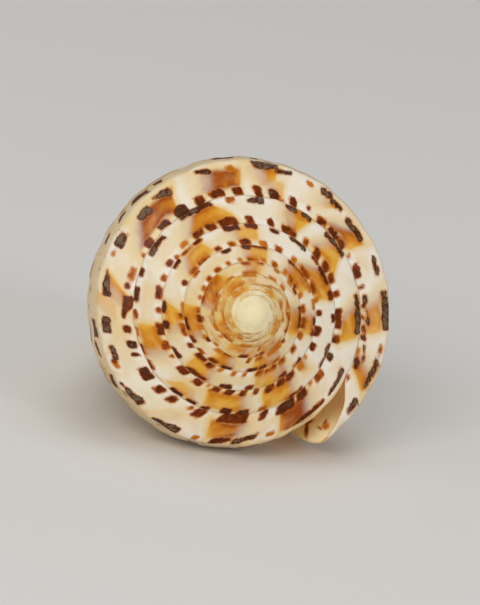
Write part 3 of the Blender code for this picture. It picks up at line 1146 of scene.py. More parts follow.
    def write_values(self, data: bpy.types.Mesh, parts: MeshParts) -> None:
        """Store each value at the face corners, and the growth map as the UV map.

        Args:
            data: the mesh, in the order of the parts' faces.
            parts: what the mesh was made from.
        """
        joined = {name: np.concatenate(grids) for name, grids in parts.values.items()}
        growth_map = data.uv_layers.new(name="growth")
        pairs = np.stack((joined["turns"], joined["across"] / self.map_width), axis=-1)
        growth_map.uv.foreach_set("vector", pairs.astype(np.float32).ravel())
        for name in VALUE_NAMES:
            layer = data.attributes.new(name, "FLOAT", "CORNER")
            layer.data.foreach_set("value", joined[name].astype(np.float32))


def flatten(groups: list[list[int]]) -> Iterator[int]:
    """Every number of a list of lists, one after another."""
    return (number for group in groups for number in group)


def regroup(numbers: Array, sizes: list[int]) -> list[list[int]]:
    """Cut a flat array of vertex numbers into faces of the given sizes."""
    ends = np.cumsum(sizes)[:-1]
    return [group.tolist() for group in np.split(numbers, ends)]


def point_faces_out(data: bpy.types.Mesh) -> None:
    """Turn all faces of a closed mesh outwards.

    Args:
        data: the mesh, changed in place.
    """
    work = bmesh.new()
    work.from_mesh(data)
    bmesh.ops.recalc_face_normals(work, faces=work.faces)
    if work.calc_volume(signed=True) < 0.0:
        bmesh.ops.reverse_faces(work, faces=work.faces)
    work.to_mesh(data)
    work.free()


class Fade(NamedTuple):
    """A smooth step: what a value's low and high limits become, flat beyond them."""

    from_low: float
    from_high: float
    to_low: float = 0.0
    to_high: float = 1.0


class Grain(NamedTuple):
    """A noise: scale, detail, roughness, distortion, and how the growth map is stretched for it."""

    scale: float
    detail: float
    roughness: float = 0.5
    distortion: float = 0.0
    stretch: tuple[float, float] | None = None


class Graph:
    """Short calls that add nodes to one node tree and join them up."""

    def __init__(self, tree: bpy.types.NodeTree) -> None:
        """Keep the tree that the nodes go into; given is for the sockets that its parts share."""
        self.tree = tree
        self.given: Sockets = {}

    def node(self, kind: str, **settings: object) -> bpy.types.Node:
        """Add a node and set its plain settings.

        Args:
            kind: Blender's name for the kind of node.
            settings: the node's settings by name.

        Returns:
            The new node.
        """
        made = self.tree.nodes.new(kind)
        for name, value in settings.items():
            setattr(made, name, value)
        return made

    def feed(self, socket: Socket, value: Fed) -> None:
        """Join an output to a socket, or set the socket to a plain value.

        Args:
            socket: the input to feed.
            value: an output socket, the name of a shared one, a number, a vector, or a colour
                without its alpha.
        """
        if isinstance(value, str):
            value = self.given[value]
        if isinstance(value, Socket):
            self.tree.links.new(value, socket)
        elif isinstance(value, tuple) and socket.type == "RGBA":
            socket.default_value = (*value, 1.0)
        else:
            socket.default_value = value

    def feed_all(self, made: bpy.types.Node, values: tuple[Fed, ...]) -> bpy.types.Node:
        """Feed a node's first inputs in order.

        Args:
            made: the node.
            values: what they get.

        Returns:
            The same node.
        """
        for socket, value in zip(made.inputs, values):
            self.feed(socket, value)
        return made

    def math(self, operation: str, *values: Fed, clamp: bool = False) -> Socket:
        """A Math node's result."""
        made = self.node("ShaderNodeMath", operation=operation, use_clamp=clamp)
        return self.feed_all(made, values).outputs[0]

    def plus(self, first: Fed, second: Fed) -> Socket:
        """The sum of two numbers."""
        return self.math("ADD", first, second)

    def minus(self, first: Fed, second: Fed, clamp: bool = False) -> Socket:
        """The first number less the second."""
        return self.math("SUBTRACT", first, second, clamp=clamp)

    def times(self, first: Fed, second: Fed, clamp: bool = False) -> Socket:
        """The product of two numbers."""
        return self.math("MULTIPLY", first, second, clamp=clamp)

    def smaller(self, first: Fed, second: Fed) -> Socket:
        """The smaller of two numbers."""
        return self.math("MINIMUM", first, second)

    def larger(self, first: Fed, second: Fed) -> Socket:
        """The larger of two numbers."""
        return self.math("MAXIMUM", first, second)

    def rest(self, share: Fed) -> Socket:
        """One less a share."""
        return self.minus(1.0, share)

    def swing(self, noise: Fed, size: Fed) -> Socket:
        """A noise's distance from its mean, times a size."""
        return self.times(self.minus(noise, NOISE_MEAN), size)

    def vector_math(self, operation: str, *values: Fed) -> bpy.types.Node:
        """A Vector Math node."""
        return self.feed_all(self.node("ShaderNodeVectorMath", operation=operation), values)

    def mix(self, share: Fed, first: Fed, second: Fed) -> Socket:
        """Two colours mixed by a share from 0 to 1.

        Args:
            share: how much of the second colour there is.
            first: the first colour.
            second: the second colour.

        Returns:
            The mixed colour.
        """
        made = self.node("ShaderNodeMix", data_type="RGBA", blend_type="MIX")
        colours = [socket for socket in made.inputs if socket.type == "RGBA"]
        self.feed(made.inputs["Factor"], share)
        self.feed(colours[0], first)
        self.feed(colours[1], second)
        return next(socket for socket in made.outputs if socket.type == "RGBA")

    def fade(self, value: Fed, limits: Fade) -> Socket:
        """A smooth step of a value between two limits."""
        made = self.node("ShaderNodeMapRange", interpolation_type="SMOOTHSTEP")
        return self.feed_all(made, (value, *limits)).outputs[0]

    def noise(self, vector: Fed, grain: Grain) -> Socket:
        """A Noise Texture's value, about NOISE_MEAN on average.

        Args:
            vector: where the noise is read.
            grain: how fine it is.

        Returns:
            The noise's value.
        """
        if grain.stretch is not None:
            mapping = self.node("ShaderNodeMapping", vector_type="POINT")
            self.feed(mapping.inputs["Vector"], vector)
            mapping.inputs["Scale"].default_value = (*grain.stretch, 1.0)
            vector = mapping.outputs[0]
        made = self.node("ShaderNodeTexNoise")
        self.feed(made.inputs["Vector"], vector)
        made.inputs["Scale"].default_value = grain.scale
        made.inputs["Detail"].default_value = grain.detail
        made.inputs["Roughness"].default_value = grain.roughness
        made.inputs["Distortion"].default_value = grain.distortion
        return made.outputs["Fac"]

    def combine(self, first: Fed, second: Fed) -> Socket:
        """A vector of two numbers and zero."""
        return self.feed_all(self.node("ShaderNodeCombineXYZ"), (first, second)).outputs[0]

    def value_of(self, name: str) -> Socket:
        """A stored corner value by its name."""
        return self.node("ShaderNodeAttribute", attribute_name=name).outputs["Fac"]

    def group(self, tree: bpy.types.NodeTree, **values: Fed) -> bpy.types.Node:
        """Place a node group and feed its inputs.

        Args:
            tree: the group.
            values: what each input gets, by its name.

        Returns:
            The group's node.
        """
        made = self.node("ShaderNodeGroup", node_tree=tree)
        for name, value in values.items():
            self.feed(made.inputs[name], value)
        return made


def new_group(name: str, inputs: dict[str, str], outputs: dict[str, str]) -> tuple[Graph, Sockets]:
    """Start a shader node group.

    Args:
        name: the group's name.
        inputs: socket type by input name.
        outputs: socket type by output name.

    Returns:
        A graph on the group, which holds its inputs by name, and its output sockets by name.
    """
    tree = bpy.data.node_groups.new(name, "ShaderNodeTree")
    for label, kind in inputs.items():
        tree.interface.new_socket(label, in_out="INPUT", socket_type=kind)
    for label, kind in outputs.items():
        tree.interface.new_socket(label, in_out="OUTPUT", socket_type=kind)
    graph = Graph(tree)
    entry = graph.node("NodeGroupInput")
    leave = graph.node("NodeGroupOutput")
    graph.given = {label: entry.outputs[label] for label in inputs}
    return graph, {label: leave.inputs[label] for label in outputs}


@dataclass(frozen=True)
class GroundColours:
    """The pale ground of the shell, away from its marks."""

    cream: Colour = (0.72, 0.62, 0.44)
    white: Colour = (0.76, 0.70, 0.585)
    cool: Colour = (0.77, 0.715, 0.63)
    peach: Colour = (0.70, 0.52, 0.29)
    honey: Colour = (0.63, 0.44, 0.18)
    yellow: Colour = (0.67, 0.44, 0.12)
    worn: Colour = (0.42, 0.17, 0.02)
    bright: Colour = (0.775, 0.735, 0.67)
    apex: Colour = (0.80, 0.70, 0.44)
    edge: Colour = (0.80, 0.62, 0.42)
    speck: Colour = (0.25, 0.08, 0.02)
    soft_grain: Grain = Grain(230.0, 2.0)
    streak_grain: Grain = Grain(1.0, 4.0, 0.6, 0.0, (70.0, 3.0))
    warm_grain: Grain = Grain(160.0, 3.0)
    blot_grain: Grain = Grain(620.0, 2.0)
    pale_grain: Grain = Grain(700.0, 3.0)
    scratch_grain: Grain = Grain(1.0, 2.0, 0.6, 0.6, (13.0, 16.0))
    near_seam: Fade = Fade(0.2, 2.0, 0.22, 0.0)
    white_share: Fade = Fade(0.4, 0.62)
    cool_side: Fade = Fade(0.05, 0.5, 0.6, 0.0)
    honey_side: Fade = Fade(0.45, 1.0, 0.0, 0.42)
    honey_patch: Fade = Fade(0.35, 0.6, 0.25, 1.0)
    peach_patch: Fade = Fade(0.48, 0.72)
    peach_streak: Fade = Fade(0.35, 0.65, 0.25, 0.85)
    rim_reach: Fade = Fade(-2.0, 0.8)
    rim_streak: Fade = Fade(0.3, 0.6, 0.3, 0.85)
    beside_mark: Fade = Fade(0.3, 1.5, 0.9, 0.0)
    beside_patch: Fade = Fade(0.36, 0.6, 0.1, 1.0)
    seam_row: Fade = Fade(0.9, 2.0, 1.0, 0.0)
    rim_row: Fade = Fade(-2.6, -1.4, 0.0, 0.8)
    old_turns: Fade = Fade(-5.0, -1.0, 0.9, 0.05)
    old_patch: Fade = Fade(0.25, 0.6, 0.45, 1.0)
    old_side: Fade = Fade(0.0, 1.0, 0.75, 1.1)
    worn_scratch: Fade = Fade(0.5, 0.68, 0.0, 0.85)
    worn_from: Fade = Fade(-6.9, -5.9)
    worn_until: Fade = Fade(-4.2, -2.8, 1.0, 0.0)
    arc_swing: float = 3.0
    arc_width: Fade = Fade(0.0, 1.5, 0.8, 0.0)
    arc_scratch: Fade = Fade(0.43, 0.58)
    arc_from: Fade = Fade(-7.0, -5.9)
    arc_until: Fade = Fade(-3.8, -2.9, 1.0, 0.0)
    bare_swing: float = 3.4
    bare_turns: Fade = Fade(-7.6, -6.0, 0.9, 0.0)
    speck_scale: float = 420.0
    speck_size: Fade = Fade(0.05, 0.1, 0.8, 0.0)
    speck_absent: float = 0.55
    speck_reach: Fade = Fade(-1.9, -1.5)

    def group(self) -> bpy.types.NodeTree:
        """Cream, white at the seams, peach at the rim, honey on one side, yellow near the apex.

        Returns:
            The node group.
        """
        names = ("Turns", "Down", "Seam", "Warmth", "Band", "Mark")
        inputs = {"Place": VECTOR, "Growth": VECTOR} | dict.fromkeys(names, FLOAT)
        graph, result = new_group("shell_ground", inputs, {"Colour": COLOUR})
        colour = self.fresh_ground(graph)
        colour = graph.mix(self.beside_rows(graph), colour, self.bright)
        colour = graph.mix("Band", colour, self.edge)
        colour = self.worn_spire(graph, colour)
        graph.feed(result["Colour"], graph.mix(self.specks(graph), colour, self.speck))
        return graph.tree

    def fresh_ground(self, graph: Graph) -> Socket:
        """Cream and white, cooler on one side and honey on the other, with peach at the rim.

        Args:
            graph: the group.

        Returns:
            The colour.
        """
        soft = graph.noise("Place", self.soft_grain)
        white = graph.plus(soft, graph.fade("Seam", self.near_seam))
        colour = graph.mix(graph.fade(white, self.white_share), self.cream, self.white)
        colour = graph.mix(graph.fade("Warmth", self.cool_side), colour, self.cool)
        streak = graph.noise("Growth", self.streak_grain)
        warm = graph.noise("Place", self.warm_grain)
        honey = graph.times(graph.fade("Warmth", self.honey_side), graph.fade(warm, self.honey_patch))
        colour = graph.mix(honey, colour, self.honey)
        peach = graph.times(graph.fade(warm, self.peach_patch), graph.fade(streak, self.peach_streak))
        colour = graph.mix(peach, colour, self.peach)
        rim = graph.fade("Down", self.rim_reach)
        rim = graph.times(rim, graph.fade(streak, self.rim_streak))
        return graph.mix(rim, colour, self.peach)

    def beside_rows(self, graph: Graph) -> Socket:
        """Where the ground is brightest: round the marks of the seam's rows and of the rim.

        Args:
            graph: the group.

        Returns:
            The mask.
        """
        blot = graph.noise("Place", self.blot_grain)
        beside = graph.fade("Mark", self.beside_mark)
        beside = graph.times(beside, graph.fade(blot, self.beside_patch))
        row = graph.fade("Seam", self.seam_row)
        row = graph.larger(row, graph.fade("Down", self.rim_row))
        return graph.times(beside, row)

    def worn_spire(self, graph: Graph, colour: Socket) -> Socket:
        """The oldest whorls: yellow, scratched with brown arcs, and bare at the apex.

        Args:
            graph: the group.
            colour: the ground so far.

        Returns:
            The colour.
        """
        pale = graph.noise("Place", self.pale_grain)
        old = graph.times(graph.fade("Turns", self.old_turns), graph.fade(pale, self.old_patch))
        old = graph.times(old, graph.fade("Warmth", self.old_side), clamp=True)
        colour = graph.mix(old, colour, self.yellow)
        scratch = graph.noise("Growth", self.scratch_grain)
        worn = graph.times(graph.fade(scratch, self.worn_scratch), graph.fade("Turns", self.worn_from))
        worn = graph.times(worn, graph.fade("Turns", self.worn_until))
        colour = graph.mix(worn, colour, self.worn)
        arc = graph.plus("Seam", graph.swing(pale, self.arc_swing))
        arc = graph.times(graph.fade(arc, self.arc_width), graph.fade(scratch, self.arc_scratch))
        arc = graph.times(arc, graph.fade("Turns", self.arc_from))
        arc = graph.times(arc, graph.fade("Turns", self.arc_until))
        colour = graph.mix(arc, colour, self.worn)
        bare = graph.plus("Turns", graph.swing(pale, self.bare_swing))
        return graph.mix(graph.fade(bare, self.bare_turns), colour, self.apex)

    def specks(self, graph: Graph) -> Socket:
        """Tiny brown specks beyond the rim, one in some of a Voronoi texture's cells.

        Args:
            graph: the group.

        Returns:
            The mask.
        """
        cells = graph.node("ShaderNodeTexVoronoi", feature="F1")
        graph.feed(cells.inputs["Vector"], "Place")
        cells.inputs["Scale"].default_value = self.speck_scale
        chosen = graph.node("ShaderNodeSeparateColor")
        graph.feed(chosen.inputs[0], cells.outputs["Color"])
        present = graph.math("GREATER_THAN", chosen.outputs[0], self.speck_absent)
        speck = graph.times(graph.fade(cells.outputs["Distance"], self.speck_size), present)
        return graph.times(speck, graph.fade("Down", self.speck_reach))


@dataclass(frozen=True)
class CloudColours:
    """The orange clouds and the grey veil beside them."""

    yellow: Colour = (0.66, 0.335, 0.035)
    orange: Colour = (0.56, 0.20, 0.010)
    red: Colour = (0.29, 0.055, 0.004)
    halo: Colour = (0.70, 0.50, 0.20)
    veil: Colour = (0.53, 0.46, 0.385)
    streak_grain: Grain = Grain(1.0, 3.0, 0.5, 0.0, (34.0, 6.0))
    patch_grain: Grain = Grain(420.0, 3.0)
    wide_grain: Grain = Grain(190.0, 2.0)
    fine_grain: Grain = Grain(1500.0, 3.0, 0.6)
    streak_redness: float = 0.7
    patch_redness: float = 1.1
    mark_redness: Fade = Fade(0.0, 0.9, 0.4, 0.0)
    orange_share: Fade = Fade(0.0, 0.5)
    red_share: Fade = Fade(0.45, 1.15)
    patch_ragged: float = 1.6
    wide_ragged: float = 1.4
    streak_ragged: float = 1.5
    old_ragged: float = 4.5
    spread: float = 0.25
    halo_reach: Fade = Fade(0.2, 2.9, 0.75, 0.0)
    border: Fade = Fade(-0.6, 0.6, 1.0, 0.0)
    thin_streak: Fade = Fade(0.3, 0.55, 0.86, 1.0)
    old_thinning: float = 0.08
    veil_reach: Fade = Fade(-0.5, 0.5, 0.5, 0.0)

    def group(self) -> bpy.types.NodeTree:
        """Streaky orange clouds, red in places, under a grey veil on the side they fade in.

        Returns:
            The node group.
        """
        names = ("Gap", "Red", "Depth", "Veil", "Mark", "Fresh")
        inputs = {"Ground": COLOUR, "Place": VECTOR, "Growth": VECTOR} | dict.fromkeys(names, FLOAT)
        graph, result = new_group("shell_clouds", inputs, {"Colour": COLOUR})
        streak = graph.noise("Growth", self.streak_grain)
        patch = graph.noise("Place", self.patch_grain)
        redness = graph.plus("Red", graph.swing(streak, self.streak_redness))
        redness = graph.plus(redness, graph.swing(patch, self.patch_redness))
        redness = graph.plus(redness, graph.fade("Mark", self.mark_redness))
        warm = graph.mix(graph.fade(redness, self.orange_share), self.yellow, self.orange)
        warm = graph.mix(graph.fade(redness, self.red_share), warm, self.red)
        wide = graph.noise("Place", self.wide_grain)
        fine = graph.noise("Place", self.fine_grain)
        old = graph.rest("Fresh")
        ragged = graph.swing(patch, self.patch_ragged)
        ragged = graph.plus(ragged, graph.swing(wide, self.wide_ragged))
        ragged = graph.plus(ragged, graph.swing(streak, self.streak_ragged))
        ragged = graph.plus(ragged, graph.swing(fine, graph.times(old, self.old_ragged)))
        gap = graph.plus("Gap", graph.minus(ragged, self.spread))
        halo = graph.times(graph.fade(gap, self.halo_reach), "Depth")
        ground = graph.mix(halo, "Ground", self.halo)
        thick = graph.times(graph.fade(gap, self.border), "Depth")
        thick = graph.times(thick, graph.fade(streak, self.thin_streak))
        thick = graph.times(thick, graph.rest(graph.times(old, self.old_thinning)))
        colour = graph.mix(thick, ground, warm)
        veil = graph.times(graph.fade("Veil", self.veil_reach), "Fresh")
        veil = graph.times(veil, "Depth")
        graph.feed(result["Colour"], graph.mix(veil, colour, self.veil))
        return graph.tree


@dataclass(frozen=True)
class MarkColours:
    """The dashes, from orange through rust and brown to black-grey."""

    orange: Colour = (0.48, 0.145, 0.004)
    rust: Colour = (0.26, 0.048, 0.001)
    brown: Colour = (0.128, 0.020, 0.0005)
    dark: Colour = (0.064, 0.014, 0.001)
    grey: Colour = (0.150, 0.098, 0.060)
    rough_grain: Grain = Grain(2600.0, 2.0, 0.6)
    wide_grain: Grain = Grain(850.0, 2.0, 0.5)
    comb_grain: Grain = Grain(1.0, 3.0, 0.6, 0.0, (300.0, 9.0))
    blot_grain: Grain = Grain(1500.0, 3.0, 0.6)
    rough_shift: float = 0.16
    wide_shift: float = 0.95
    comb_shift: float = 0.22
    growth: float = 0.05
    border: Fade = Fade(-0.12, 0.10, 1.0, 0.0)
    fringe_reach: Fade = Fade(0.0, 0.28, 0.75, 0.0)
    fringe_patch: Fade = Fade(0.35, 0.6, 0.2, 1.0)
    blot_tone: float = 1.1
    comb_tone: float = 0.7
    edge_tone: Fade = Fade(-0.26, -0.02, 0.0, 0.3)
    rust_share: Fade = Fade(0.0, 0.3)
    brown_share: Fade = Fade(0.25, 0.6)
    dark_share: Fade = Fade(0.55, 0.8)
    grey_share: Fade = Fade(0.82, 1.15)

    def group(self) -> bpy.types.NodeTree:
        """Marks over the colour below: uneven crisp edges with a thin orange fringe.

        Returns:
            The node group.
        """
        inputs = {"Below": COLOUR, "Place": VECTOR, "Growth": VECTOR}
        inputs |= dict.fromkeys(("Gap", "Tone", "Ragged"), FLOAT)
        graph, result = new_group("shell_marks", inputs, {"Colour": COLOUR, "Mask": FLOAT})
        rough = graph.noise("Place", self.rough_grain)
        wide = graph.noise("Place", self.wide_grain)
        comb = graph.noise("Growth", self.comb_grain)
        shift = graph.plus(graph.swing(rough, self.rough_shift), graph.swing(wide, self.wide_shift))
        shift = graph.plus(shift, graph.swing(comb, self.comb_shift))
        shift = graph.times(shift, "Ragged")
        gap = graph.minus(graph.plus("Gap", shift), self.growth)
        mask = graph.fade(gap, self.border)
        fringe = graph.times(graph.fade(gap, self.fringe_reach), graph.fade(wide, self.fringe_patch))
        blot = graph.noise("Place", self.blot_grain)
        tone = graph.plus("Tone", graph.swing(blot, self.blot_tone))
        tone = graph.plus(tone, graph.swing(comb, self.comb_tone))
        tone = graph.minus(tone, graph.fade(gap, self.edge_tone))
        ink = graph.mix(graph.fade(tone, self.rust_share), self.orange, self.rust)
        ink = graph.mix(graph.fade(tone, self.brown_share), ink, self.brown)
        ink = graph.mix(graph.fade(tone, self.dark_share), ink, self.dark)
        ink = graph.mix(graph.fade(tone, self.grey_share), ink, self.grey)
        colour = graph.mix(fringe, "Below", self.orange)
        graph.feed(result["Colour"], graph.mix(mask, colour, ink))
        graph.feed(result["Mask"], mask)
        return graph.tree


@dataclass(frozen=True)
class HollowMarks:
    """The few spots deep in the hollow, laid along the photograph's line of sight."""

    form: ShellForm
    view: PhotoView
    apex: tuple[float, float, float]
    spots: tuple[Row, ...] = HOLLOW_SPOTS

    def group(self) -> bpy.types.NodeTree:
        """Distance to the nearest spot and its tone, each spot an ellipse across the line of sight.

        Returns:
            The node group.
        """
        graph, result = new_group("hollow_marks", {"Place": VECTOR}, {"Gap": FLOAT, "Tone": FLOAT})
        turn = self.form.lay_down()
        right, up, _ = (turn @ axis for axis in self.view.axes())
        scale = self.view.pixels_per_mm
        from_apex = graph.vector_math("SUBTRACT", "Place", self.apex).outputs["Vector"]
        across = graph.vector_math("DOT_PRODUCT", from_apex, tuple(right * scale / MM)).outputs["Value"]
        down = graph.vector_math("DOT_PRODUCT", from_apex, tuple(-up * scale / MM)).outputs["Value"]
        gap = FAR_OFF
        tone = 0.0
        for row in self.spots:
            spot = Spot(*row)
            here = self.ellipse(graph, spot, across, down)
            nearer = graph.math("LESS_THAN", here, gap)
            tone = graph.plus(tone, graph.times(nearer, graph.minus(spot.tone.value, tone)))
            gap = graph.smaller(here, gap)
        graph.feed(result["Gap"], gap)
        graph.feed(result["Tone"], tone)
        return graph.tree

    def ellipse(self, graph: Graph, spot: Spot, across: Socket, down: Socket) -> Socket:
        """Millimetres past one spot's outline, below zero inside it.

        The two turned distances from the middle are divided by the half sizes, and the root of
        the sum of their squares, less one, is scaled back by the spot's half width.

        Args:
            graph: the group.
            spot: the spot.
            across: pixels to the right of the apex.
            down: pixels below the apex.

        Returns:
            The distance.
        """

        def squared(distance: Socket, half: float) -> Socket:
            """Square of a distance over half a size."""
            shares = graph.math("ABSOLUTE", graph.math("DIVIDE", distance, half))
            return graph.math("POWER", shares, 2.0)

        turn = math.radians(spot.tilt)
        beside = graph.minus(across, spot.across_pixel - self.view.apex_pixel[0])
        below = graph.minus(down, spot.down_pixel - self.view.apex_pixel[1])
        length = graph.minus(graph.times(beside, math.cos(turn)), graph.times(below, math.sin(turn)))
        width = graph.plus(graph.times(beside, math.sin(turn)), graph.times(below, math.cos(turn)))
        total = graph.plus(squared(length, spot.half_length), squared(width, spot.half_width))
        away = graph.minus(graph.math("SQRT", total), 1.0)
        return graph.times(away, spot.half_width / self.view.pixels_per_mm)


class Dash(NamedTuple):
    """One kind of dash on the side.

    Its cells a turn, the longest one's share of a cell, its height and its cell's length in
    millimetres, the share of the cells that hold one, and the first row's depth.
    """

    per_turn: float
    length: float
    height: float
    chance: float
    cell: float
    first_row: float


@dataclass(frozen=True)
class SideRows:
    """Spiral rows of dashes and dots down the side of the last whorl."""

    spacing: float = 3.1
    dashes: Dash = Dash(31.0, 0.72, 0.95, 0.75, 4.0, 1.6)
    dots: Dash = Dash(44.0, 0.3, 0.36, 0.55, 2.5, 3.15)
    stretch_size: float = 0.5
    stretch_least: float = 0.75
    row_shift: float = 0.618
    crowd_pace: float = 0.35
    crowd_grain: Grain = Grain(1.0, 2.0)
    crowding: Fade = Fade(0.35, 0.6, 0.35, 1.25)
    least_length: float = 0.45
    length_part: float = 2.9
    place_swing: float = 0.3
    least_height: float = 0.7
    height_part: float = 2.4
    lean_swing: float = 0.7
    extra_tone: float = 0.75
    top: float = 0.3

    def rows(self, name: str, kind: Dash) -> bpy.types.NodeTree:
        """A group that gives the distance to the nearest dash in rows of cells.

        The side is cut into rows down it and cells along it, longer in one row than in the
        next. A cell holds one dash if its random number is under the chance, which is higher
        where the dashes crowd, and two other numbers set the dash's size and shift. The
        result is below zero inside a dash.

        Args:
            name: the group's name.
            kind: the kind of dash.

        Returns:
            The node group.
        """
        labels = ("Along", "Down", "Spacing", "First", "Cell")
        graph, result = new_group(name, dict.fromkeys(labels, FLOAT), {"Gap": FLOAT})
        lines = graph.math("DIVIDE", graph.minus("Down", "First"), "Spacing")
        line = graph.math("ROUND", lines)
        across = graph.times(graph.minus(lines, line), "Spacing")
        row_seed = graph.node("ShaderNodeTexWhiteNoise", noise_dimensions="1D")
        graph.feed(row_seed.inputs["W"], line)
        stretch = graph.plus(graph.times(row_seed.outputs["Value"], self.stretch_size), self.stretch_least)
        shifted = graph.plus(graph.times("Along", stretch), graph.times(line, self.row_shift))
        cell = graph.math("FLOOR", shifted)
        part = graph.minus(graph.minus(shifted, cell), 0.5)
        chosen = graph.node("ShaderNodeTexWhiteNoise", noise_dimensions="2D")
        graph.feed(chosen.inputs["Vector"], graph.combine(cell, line))
        split = graph.node("ShaderNodeSeparateXYZ")
        graph.feed(split.inputs[0], chosen.outputs["Color"])
        size, place, lot = split.outputs
        half = graph.times(graph.plus(size, self.least_length), kind.length / self.length_part)
        moved = graph.plus(part, graph.swing(place, self.place_swing))
        out_along = graph.times(graph.minus(graph.math("ABSOLUTE", moved), half), "Cell")
        tall = graph.times(graph.plus(size, self.least_height), kind.height / self.height_part)
        lean = graph.plus(across, graph.swing(place, self.lean_swing))
        out_across = graph.minus(graph.math("ABSOLUTE", lean), tall)
        slow = graph.times("Along", self.crowd_pace)
        crowd = graph.noise(graph.combine(slow, line), self.crowd_grain)
        often = graph.times(graph.fade(crowd, self.crowding), kind.chance)
        empty = graph.math("GREATER_THAN", lot, often)
        gap = graph.plus(graph.larger(out_along, out_across), graph.times(empty, FAR_OFF))
        graph.feed(result["Gap"], gap)
        return graph.tree

    def gap(self, graph: Graph) -> tuple[Socket, Socket]:
        """Distance to the dashes and dots on the side, and how much darker they are.

        Args:
            graph: the material's nodes.

        Returns:
            The distance and the tone.
        """
        gaps = []
        for name, kind in (("side_dashes", self.dashes), ("side_dots", self.dots)):
            along = graph.times("Turns", kind.per_turn)
            made = graph.group(
                self.rows(name, kind), Along=along, Down="Down", Spacing=self.spacing,
                First=kind.first_row, Cell=kind.cell,
            )
            gaps.append(made.outputs[0])
        below_top = graph.math("GREATER_THAN", "Down", self.top)
        on_side = graph.minus(below_top, "Inside", clamp=True)
        off = graph.times(graph.rest(on_side), FAR_OFF)
        return graph.plus(graph.smaller(*gaps), off), graph.times(on_side, self.extra_tone)


@dataclass(frozen=True)
class HollowColours:
    """Tan inside the lip, painted shade and light through the thin wall that deepens down the hollow, then
    gold and then pale where the shoulder bends.
    """

    # painted shade: the tan stands in for shade and light through the thin wall inside the lip, where the
    # shell itself is cream
    painted_shade_tan: Colour = (0.57, 0.34, 0.12)
    gold: Colour = (0.62, 0.42, 0.13)
    pale: Colour = (0.74, 0.63, 0.36)
    # painted shade: how far down the hollow the tan takes over from the lighter colours near the lip
    painted_shade_depth: Fade = Fade(0.0, 6.0)
    lip_reach: Fade = Fade(0.2, 5.0, 1.0, 0.0)
    gold_across: Fade = Fade(4.2, 6.0)
    gold_down: Fade = Fade(8.0, 14.0, 0.85, 0.0)
    pale_across: Fade = Fade(5.2, 7.0)
    pale_down: Fade = Fade(5.5, 11.0, 0.95, 0.0)

    def colour(self, graph: Graph) -> tuple[Socket, Socket]:
        """The hollow's colour, with painted shade that deepens down the hollow and away from the lip's
        edge.

        Args:
            graph: the material's nodes.

        Returns:
            The colour and the share of the pale zone, which also sets how strong the painted glow is.
        """
        # painted shade: the margin shrinks with depth, so deeper places stay tan
        margin = graph.minus(graph.value_of("margin"), graph.fade("Down", self.painted_shade_depth))
        near_lip = graph.fade(margin, self.lip_reach)
        across = graph.value_of("across")
        gold = graph.times(graph.fade(across, self.gold_across), graph.fade("Down", self.gold_down))
        pale = graph.times(graph.fade(across, self.pale_across), graph.fade("Down", self.pale_down))
        gold = graph.times(gold, near_lip)
        pale = graph.times(pale, near_lip)
        return graph.mix(pale, graph.mix(gold, self.painted_shade_tan, self.gold), self.pale), pale


